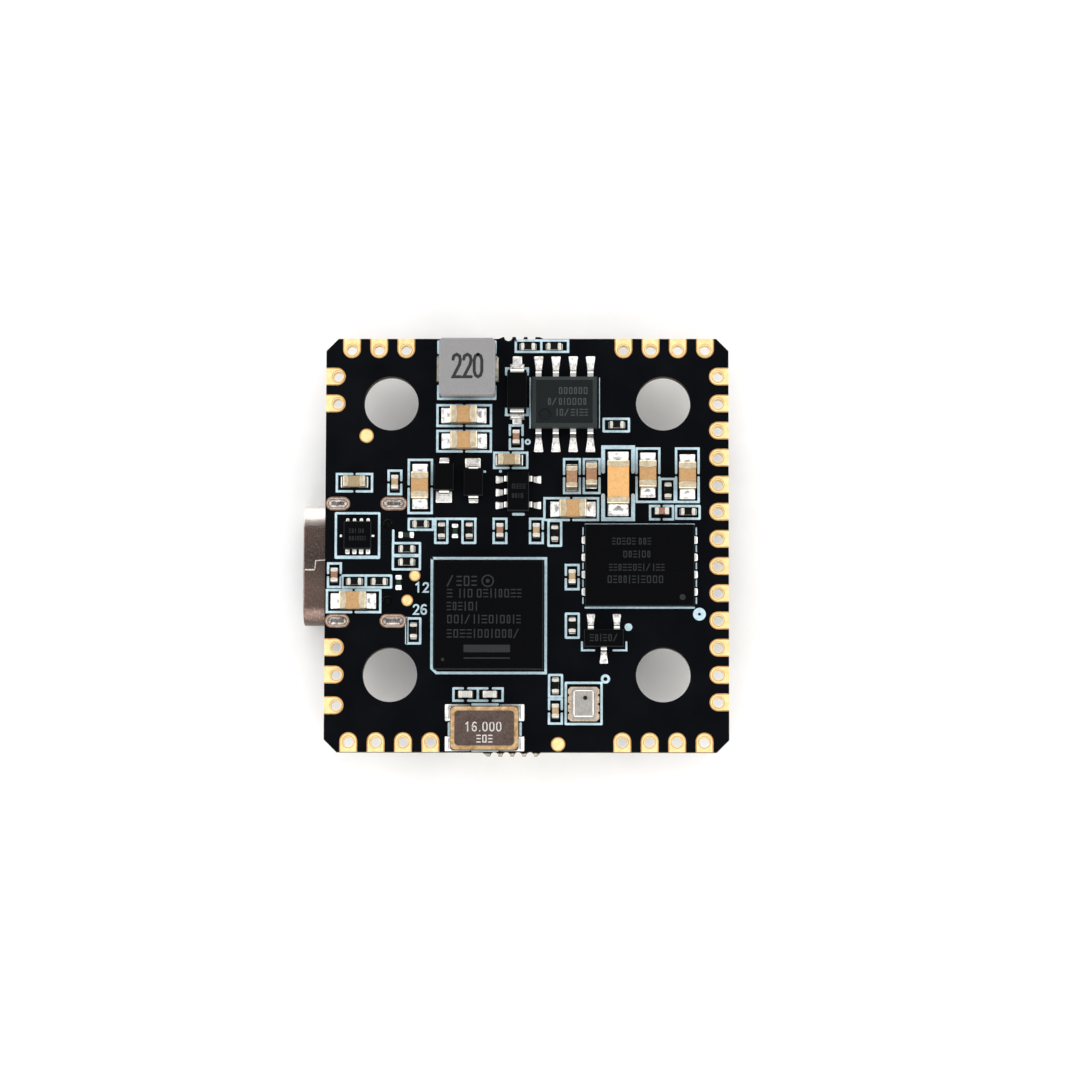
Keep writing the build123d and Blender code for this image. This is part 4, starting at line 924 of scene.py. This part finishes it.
def box_outline(edges, corner, steps=5):
    """The rounded outline of a rectangle given by its edges."""
    return rounded(*middle_of(edges), edges[1] - edges[0], edges[3] - edges[2], corner, steps)


def grown(edges, way, outward, sides, inward):
    """The pad under a terminal: way is the unit step that points away from the part's body."""
    def past(step):
        return outward if step > 0 else inward if step < 0 else sides

    left, right, low, high = edges
    return left - past(-way[0]), right + past(way[0]), low - past(-way[1]), high + past(way[1])


def way_out(edges, bodies):
    """Which way a terminal points, from the nearest body."""
    x, y = middle_of(edges)

    def nearness(body):
        cx, cy = middle_of(body)
        return apart(body, x, y), abs(x - cx) + abs(y - cy)

    body = min(bodies, key=nearness)
    cx, cy = middle_of(body)
    dx = (x - cx) / (body[1] - body[0])
    dy = (y - cy) / (body[3] - body[2])
    return (math.copysign(1, dx), 0) if abs(dx) > abs(dy) else (0, math.copysign(1, dy))


def foot_of(points, level):
    """The edges of what is near the board's face."""
    return plan([p for p in points if abs(p.z - level) < FOOT_HEIGHT * MM])


def solder_node(top, under, joint, is_lead):
    """Joints for every end or lead of a node."""
    if is_lead:
        node, body_node, outward, sides, climb = joint
        body_nodes, inward, waist = [body_node], HEEL_COVER, LEAD_WAIST
    else:
        node, body_nodes, outward, sides, inward, share = joint
        waist = 1.0
    bodies = [plan(points) for body in body_nodes for points in islands(body)]
    for points in islands(node):
        low, high = box_of(points)
        above = is_on_top((low, high))
        core = plan(points)
        way = way_out(core, bodies)
        if is_lead:
            core = foot_of(points, TOP if above else UNDERSIDE)
        else:
            climb = (high.z - low.z) / MM * share
        pad = grown(core, way, outward, sides, inward)
        reach = max(outward, LEAST_REACH) * RISE_SHARE
        (top if above else under).joint(pad, core, climb, reach, way=way, waist=waist)


def solder_parts():
    top = Solder("solder_joints_top", TOP, 1, SOLDER)
    under = Solder("solder_joints_underside", UNDERSIDE, -1, SOLDER)
    for joint in CHIP_JOINTS:
        solder_node(top, under, joint, False)
    for joint in LEAD_JOINTS:
        solder_node(top, under, joint, True)
    for pad in BARE_PADS:
        top.joint(pad, corner=0.07, film=0.06)
    crystal = plan(islands("crystal_base")[0])
    for pad in CRYSTAL_PADS:
        top.joint(pad, crystal, climb=0.4)
    for points in islands("socket_tabs"):
        core = foot_of(points, UNDERSIDE)
        under.joint(widened(core, TAB_MARGIN), core, climb=0.35, reach=0.24, corner=0.1)
    cover = plan(islands("boot_button_cover")[0])
    past, inside, wide, tall = BUTTON_PAD
    for x in (cover[0] - past, cover[1] + past):
        for y in (cover[2] + inside, cover[3] - inside):
            pad = (x - wide, x + wide, y - tall, y + tall)
            under.joint(pad, cover, climb=0.3, reach=0.25, corner=0.1)
    top.finish()
    under.finish()


def bead_flash_memory():
    beads = Solder("flash_beads", TOP, 1, BEAD_TIN)
    for points in islands("flash_memory_terminals"):
        beads.joint(widened(plan(points), BEAD_MARGIN), corner=0.11, film=BEAD_HEIGHT)
    beads.finish()


def darken_gaps():
    """The dark lacquer between the pads of the footprints without parts."""
    gaps = Sheet("bare_footprint_gaps", DARK_GAP, TOP - SINK, GAP_HEIGHT)
    for edges in BARE_FOOTPRINT_GAPS:
        gaps.slab(box_outline(edges, corner=0.05))
    gaps.finish("solder_mask")


# ---- Seams and rims ----

# The shell seam's two levels from the shell's middle, on the side of its groove, and where it steps over
SEAM_NEAR = -0.46
SEAM_FAR = 0.26
SEAM_STEP = 0.8
# Where it starts from the mouth, and the width of its two parts
SEAM_START = 0.15
SEAM_WIDTHS = (0.11, 0.08)
SEAM_HIGHLIGHT_HEIGHT = 0.006 * MM
# The painted shade line at the edge of each pad's gold
RIM_WIDTH = 0.08
RIM_HEIGHT = 0.005 * MM
# The points of a pad this close to the middle of its round end belong to its hole
HOLE_SHARE = 0.93
HOLE_GAP = 0.004
HOLE_LINE = 0.045
# The painted highlight line on each slot's ring: how far in from the outer edge, and its width
RING_SHINE = 0.10
RING_SHINE_WIDTH = 0.05
# Half a shell leg's length and thickness, and how far inside its slot's ring the solder ends
LEG = (0.5, 0.15)
SLOT_MARGIN = 0.15


def edge_seam():
    """A painted highlight along the fine stepped line where the shell's folded edges meet."""
    low, high = mm_box("usb_shell")
    middle, mouth = (low.y + high.y) / 2, low.x
    near, far, step = middle + SEAM_NEAR, middle + SEAM_FAR, mouth + SEAM_STEP
    # The line is a painted highlight along the seam's groove
    sheet = Sheet("shell_seam_painted_highlight", PAINTED_HIGHLIGHT_METAL, UNDERSIDE - SEAM_HIGHLIGHT_HEIGHT, SEAM_HIGHLIGHT_HEIGHT)
    sheet.line([(mouth + SEAM_START, near), (step, near)], SEAM_WIDTHS[0])
    points = [(step + 0.05, near + 0.1), (step + 0.1, far - 0.05), (BOARD_LOW.x / MM, far)]
    sheet.line(points, SEAM_WIDTHS[1])
    sheet.finish("shell_nickel")


def rim_pads():
    """A painted shade line at the edge of the gold on every pad."""
    low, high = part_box("edge_pads")
    for name, level, up in (("pad_rims_top", high.z - SINK, 1), ("pad_rims_underside", low.z + SINK, -1)):
        sheet = Sheet(name, PAD_RIM_PAINTED_SHADE, level, RIM_HEIGHT, up)
        for points in islands("edge_pads"):
            rim_edge_pad(sheet, points)
        if up > 0:
            sheet.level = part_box("test_pads")[1].z - SINK
            for points in islands("test_pads"):
                edges = plan(points)
                radius = (edges[1] - edges[0]) / 2
                sheet.circle_line(*middle_of(edges), radius - RIM_WIDTH, radius)
        sheet.finish("gold_plating")


def rim_edge_pad(sheet, points):
    """A painted shade line round one edge pad, open where it meets the board's edge, and a fine painted dark
    reflection round its hole.
    """
    edges = plan(points)
    width, height = edges[1] - edges[0], edges[3] - edges[2]
    centre = Vector(middle_of(edges))
    radius = min(width, height) / 2
    line = radius - RIM_WIDTH / 2
    out = Vector((0, math.copysign(1, centre.y)) if width < height else (math.copysign(1, centre.x), 0))
    way = math.degrees(math.atan2(out.y, out.x))
    half = max(width, height) / 2
    middle = centre - out * (half - radius)
    mouth = centre + out * (half - RIM_WIDTH / 2)
    side = Vector((-out.y, out.x)) * line
    bend = arc(*middle, line, way + 90, way + 270, 18)
    sheet.line([tuple(mouth + side)] + bend + [tuple(mouth - side)], RIM_WIDTH)
    hole = plan([p for p in points if (p.xy / MM - middle).length < radius * HOLE_SHARE])
    bore = (hole[1] - hole[0]) / 2 + HOLE_GAP
    sheet.circle_line(*middle_of(hole), bore, bore + HOLE_LINE)


def fill_slots():
    """Solder round the shell's legs, inside each slot's ring, and a painted highlight line on the ring."""
    fill = Solder("slot_solder", TOP, 1, SLOT_SOLDER)
    # A painted highlight line round each slot's ring
    shine = Sheet("slot_ring_painted_highlight", PAINTED_HIGHLIGHT_METAL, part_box("usb_slot_rings")[1].z - MARK_SINK, RIM_HEIGHT)
    for points in islands("usb_slot_rings"):
        slot = plan(points)
        outer = widened(slot, -RING_SHINE)
        inner = widened(slot, -RING_SHINE - RING_SHINE_WIDTH)
        shine.ring(*(box_outline(edges, (edges[3] - edges[2]) / 2, 9) for edges in (inner, outer)))
        x, y = middle_of(slot)
        pad = widened(slot, -SLOT_MARGIN)
        fill.joint(pad, (x - LEG[0], x + LEG[0], y - LEG[1], y + LEG[1]), climb=0.13, reach=0.25,
                   corner=(pad[3] - pad[2]) / 2, film=0.03)
    fill.finish()
    shine.finish("tin")


# ---- Marks on the parts ----

# Strokes of each figure in a cell 0.6 wide and 1 high
FIGURES = {
    "0": [(0.3, 1.0), (0.48, 0.93), (0.57, 0.75), (0.57, 0.25), (0.48, 0.07), (0.3, 0.0), (0.12, 0.07),
          (0.03, 0.25), (0.03, 0.75), (0.12, 0.93), (0.3, 1.0)],
    "1": [(0.08, 0.8), (0.32, 1.0), (0.32, 0.0)],
    "2": [(0.04, 0.78), (0.1, 0.93), (0.3, 1.0), (0.5, 0.92), (0.56, 0.74), (0.5, 0.55), (0.05, 0.0),
          (0.58, 0.0)],
    "6": [(0.54, 0.9), (0.36, 1.0), (0.16, 0.92), (0.05, 0.66), (0.03, 0.3), (0.12, 0.06), (0.32, 0.0),
          (0.5, 0.07), (0.57, 0.27), (0.5, 0.48), (0.3, 0.55), (0.06, 0.42)],
    ".": [(0.08, 0.0), (0.12, 0.0)],
}
# A point takes this share of a figure's pitch
POINT_PITCH = 0.55


def write_figures(sheet, text, x, y, height, pitch, line, wide=1.0):
    """Figures from a left end and a foot. wide is how wide they are for their height, against the cell."""
    for figure in text:
        sheet.line([(x + px * height * wide, y + py * height) for px, py in FIGURES[figure]], line)
        x += pitch * (POINT_PITCH if figure == "." else 1.0)


# A plain shape's width and the gap after it, for its height
SHAPE_WIDTHS = (0.42, 0.5, 0.56)
SHAPE_GAP = 0.24


def glyph_row(sheet, left, right, y, height, line):
    """A row of plain shapes the size of laser marked characters: frames, strokes, bars, slants and gaps."""
    x = left
    foot, head = y - height / 2, y + height / 2
    while x + 0.3 * height < right:
        kind = random.random()
        wide = height * random.choice(SHAPE_WIDTHS)
        if kind < 0.4:
            sheet.frame(x, x + wide, foot, head, line, 0.06)
        elif kind < 0.62:
            sheet.line([(x + line, foot), (x + line, head)], line)
            wide = line * 2
        elif kind < 0.88:
            for step in (-0.42, 0.0, 0.42):
                sheet.line([(x, y + step * height), (x + wide, y + step * height)], line)
        else:
            wide = height * 0.7
            if random.random() < 0.5:
                x += wide * 0.4
                continue
            sheet.line([(x, foot), (x + wide * 0.7, head)], line)
        x += wide + height * SHAPE_GAP


# node, then left, right, y and height of each row, measured from the package's centre
MARK_ROWS = {
    "processor": [(-3.0, -0.9, 2.45, 0.75), (-3.0, 2.6, 1.55, 0.62), (-3.0, -0.5, 0.6, 0.62),
                  (-3.0, 2.6, -0.35, 0.62), (-3.0, 2.5, -1.4, 0.62)],
    "flash_memory": [(-2.0, 0.9, 1.75, 0.5), (-1.2, 0.8, 0.8, 0.5), (-2.35, 2.0, -0.17, 0.5),
                     (-2.35, 2.0, -1.05, 0.55)],
    "buck_regulator": [(-0.4, 1.8, 0.8, 0.5), (-1.2, 1.8, 0.0, 0.5), (-0.6, 1.8, -0.8, 0.5)],
    "transistor": [(-1.0, 1.0, 0.0, 0.5)],
    "linear_regulator": [(-0.45, 0.45, 0.35, 0.35), (-0.45, 0.45, -0.35, 0.35)],
    "power_switch": [(-0.6, 0.6, 0.3, 0.32), (-0.6, 0.6, -0.25, 0.32)],
    "display_chip": [(-3.2, 3.0, 0.8, 0.6), (-3.2, 2.0, -0.3, 0.6)],
    "motion_sensor": [(-0.9, 0.8, 0.4, 0.36), (-0.9, 0.8, -0.25, 0.36)],
}
UNDERSIDE_PACKAGES = ("display_chip", "motion_sensor")
# A glyph's line width for its height
GLYPH_LINE = 0.14
# The processor's round emblem: its place from the package's centre, its ring's two edges and its dot
EMBLEM = (-0.05, 2.45)
EMBLEM_RING = (0.36, 0.46)
EMBLEM_DOT = 0.14
# The processor's bars: middle, length and thickness
BARS = ((-0.1, -2.5, 3.4, 0.55), (-0.1, -3.2, 3.4, 0.09))
BAR_CORNER = 0.05
# The dot at a package's first contact: its place from the centre, and its radius
CORNER_DOTS = {"processor": (-3.32, -3.3, 0.12), "flash_memory": (3.13, -2.35, 0.22)}


def mark_packages():
    for package, rows in MARK_ROWS.items():
        low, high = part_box(package + "_body")
        centre = (low + high) / 2 / MM
        material = BUCK_MARK if package == "buck_regulator" else GREY_MARK
        if package in UNDERSIDE_PACKAGES:
            sheet = Sheet(package + "_marks", material, low.z + MARK_SINK, MARK_HEIGHT, -1, centre.x)
        else:
            sheet = Sheet(package + "_marks", material, high.z - MARK_SINK, MARK_HEIGHT)
        for left, right, y, height in rows:
            glyph_row(sheet, centre.x + left, centre.x + right, centre.y + y, height, height * GLYPH_LINE)
        if package == "processor":
            mark_processor(sheet, centre)
        if package in CORNER_DOTS:
            x, y, radius = CORNER_DOTS[package]
            sheet.dot(centre.x + x, centre.y + y, radius)
        sheet.finish("part_marking")


def mark_processor(sheet, centre):
    x, y = centre.x + EMBLEM[0], centre.y + EMBLEM[1]
    sheet.circle_line(x, y, *EMBLEM_RING)
    sheet.dot(x, y, EMBLEM_DOT)
    for x, y, length, thickness in BARS:
        sheet.slab(rounded(centre.x + x, centre.y + y, length, thickness, BAR_CORNER))


def top_marks(name, node, material):
    """A sheet for marks on top of a part, and the part's centre."""
    low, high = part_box(node)
    return Sheet(name, material, high.z - MARK_SINK, MARK_HEIGHT), (low + high) / 2 / MM


def mark_inductor_and_crystal():
    ink, centre = top_marks("inductor_marks", "inductor_core", BLACK_MARK)
    write_figures(ink, "220", centre.x - 1.06, centre.y - 0.8, height=1.66, pitch=0.78, line=0.23, wide=0.62)
    ink.finish("part_marking")
    engraved, centre = top_marks("crystal_marks", "crystal_lid", PALE_MARK)
    write_figures(engraved, "16.000", centre.x - 1.38, centre.y - 0.22, height=0.64, pitch=0.5, line=0.09,
                  wide=0.85)
    glyph_row(engraved, centre.x - 0.85, centre.x + 0.85, centre.y - 0.78, height=0.58, line=0.09)
    engraved.finish("part_marking")


# ---- Camera, floor and light ----

CAMERA_AT = Vector((5.5, -33.0, 316.0)) * MM
CAMERA_AIM = Vector((0.966, -0.095, 1.0)) * MM
CAMERA_ROLL = -0.13
LENS = 144.02
SENSOR = 36.0


def make_camera():
    data = bpy.data.cameras.new("camera")
    data.lens = LENS
    data.sensor_width = SENSOR
    data.clip_start = 0.01
    data.clip_end = 10.0
    camera = add_to_scene("camera", data)
    ahead = (CAMERA_AIM - CAMERA_AT).normalized()
    roll = math.radians(CAMERA_ROLL)
    right = ahead.cross(Vector((math.sin(roll), math.cos(roll), 0))).normalized()
    up = right.cross(ahead)
    turn = Matrix((right, up, -ahead)).transposed()
    camera.matrix_world = Matrix.Translation(CAMERA_AT) @ turn.to_4x4()
    bpy.context.scene.camera = camera


def make_floor():
    mesh = bmesh.new()
    bmesh.ops.create_grid(mesh, x_segments=8, y_segments=8, size=3.0)
    bmesh.ops.translate(mesh, verts=mesh.verts, vec=(0, 0, FLOOR))
    s = Shader("floor_paper", Specular_IOR_Level=0.2)
    s.colour(s.tones(s.noise(3.0, 3), (0.90, 0.90, 0.90), (0.93, 0.93, 0.93)))
    s.uneven(5.0, 2, 0.7, 0.85)
    floor = mesh_object(mesh, "floor", s.material)


# Where each soft box stands, in metres, its width and its power
SOFT_BOXES = [
    ((0.0, -0.50, 0.42), 0.42, 1.2),
    ((-0.50, 0.02, 0.40), 0.40, 0.8),
    ((0.50, 0.02, 0.40), 0.40, 0.8),
    ((0.05, 0.50, 0.42), 0.42, 0.8),
]
WORLD_LIGHT = 2.7
# How bright the studio is at the horizon, at a low angle and overhead, as shares of that
WORLD_LEVELS = ((0.0, 1.0), (0.3, 0.87), (0.52, 0.33), (0.85, 0.21))


def make_soft_boxes():
    for i, (place, size, power) in enumerate(SOFT_BOXES):
        data = bpy.data.lights.new(f"soft_box_{i}", "AREA")
        data.shape = "SQUARE"
        data.size = size
        data.energy = power
        lamp = add_to_scene(f"soft_box_{i}", data)
        lamp.location = place
        lamp.rotation_mode = "QUATERNION"
        lamp.rotation_quaternion = (-Vector(place)).to_track_quat("-Z", "Y")


def make_studio():
    """A pale room, brightest near the horizon."""
    world = bpy.data.worlds.new("studio")
    bpy.context.scene.world = world
    nodes = Nodes(world)
    background = nodes.tree.nodes["Background"]
    nodes.feed(background.inputs["Strength"], WORLD_LIGHT)
    way = nodes.node("ShaderNodeTexCoord").outputs["Generated"]
    height = nodes.node("ShaderNodeSeparateXYZ", Vector=way).outputs["Z"]
    levels = [(place, (level, level, level)) for place, level in WORLD_LEVELS]
    nodes.feed(background.inputs["Color"], nodes.ramp(height, *levels))


make_camera()
make_floor()
make_soft_boxes()
make_studio()
paint_cad_nodes()
print_top()
print_underside()
solder_parts()
bead_flash_memory()
darken_gaps()
fill_slots()
rim_pads()
edge_seam()
mark_packages()
mark_inductor_and_crystal()

scene = bpy.context.scene
scene.view_settings.view_transform = "Standard"

bpy.context.view_layer.update()
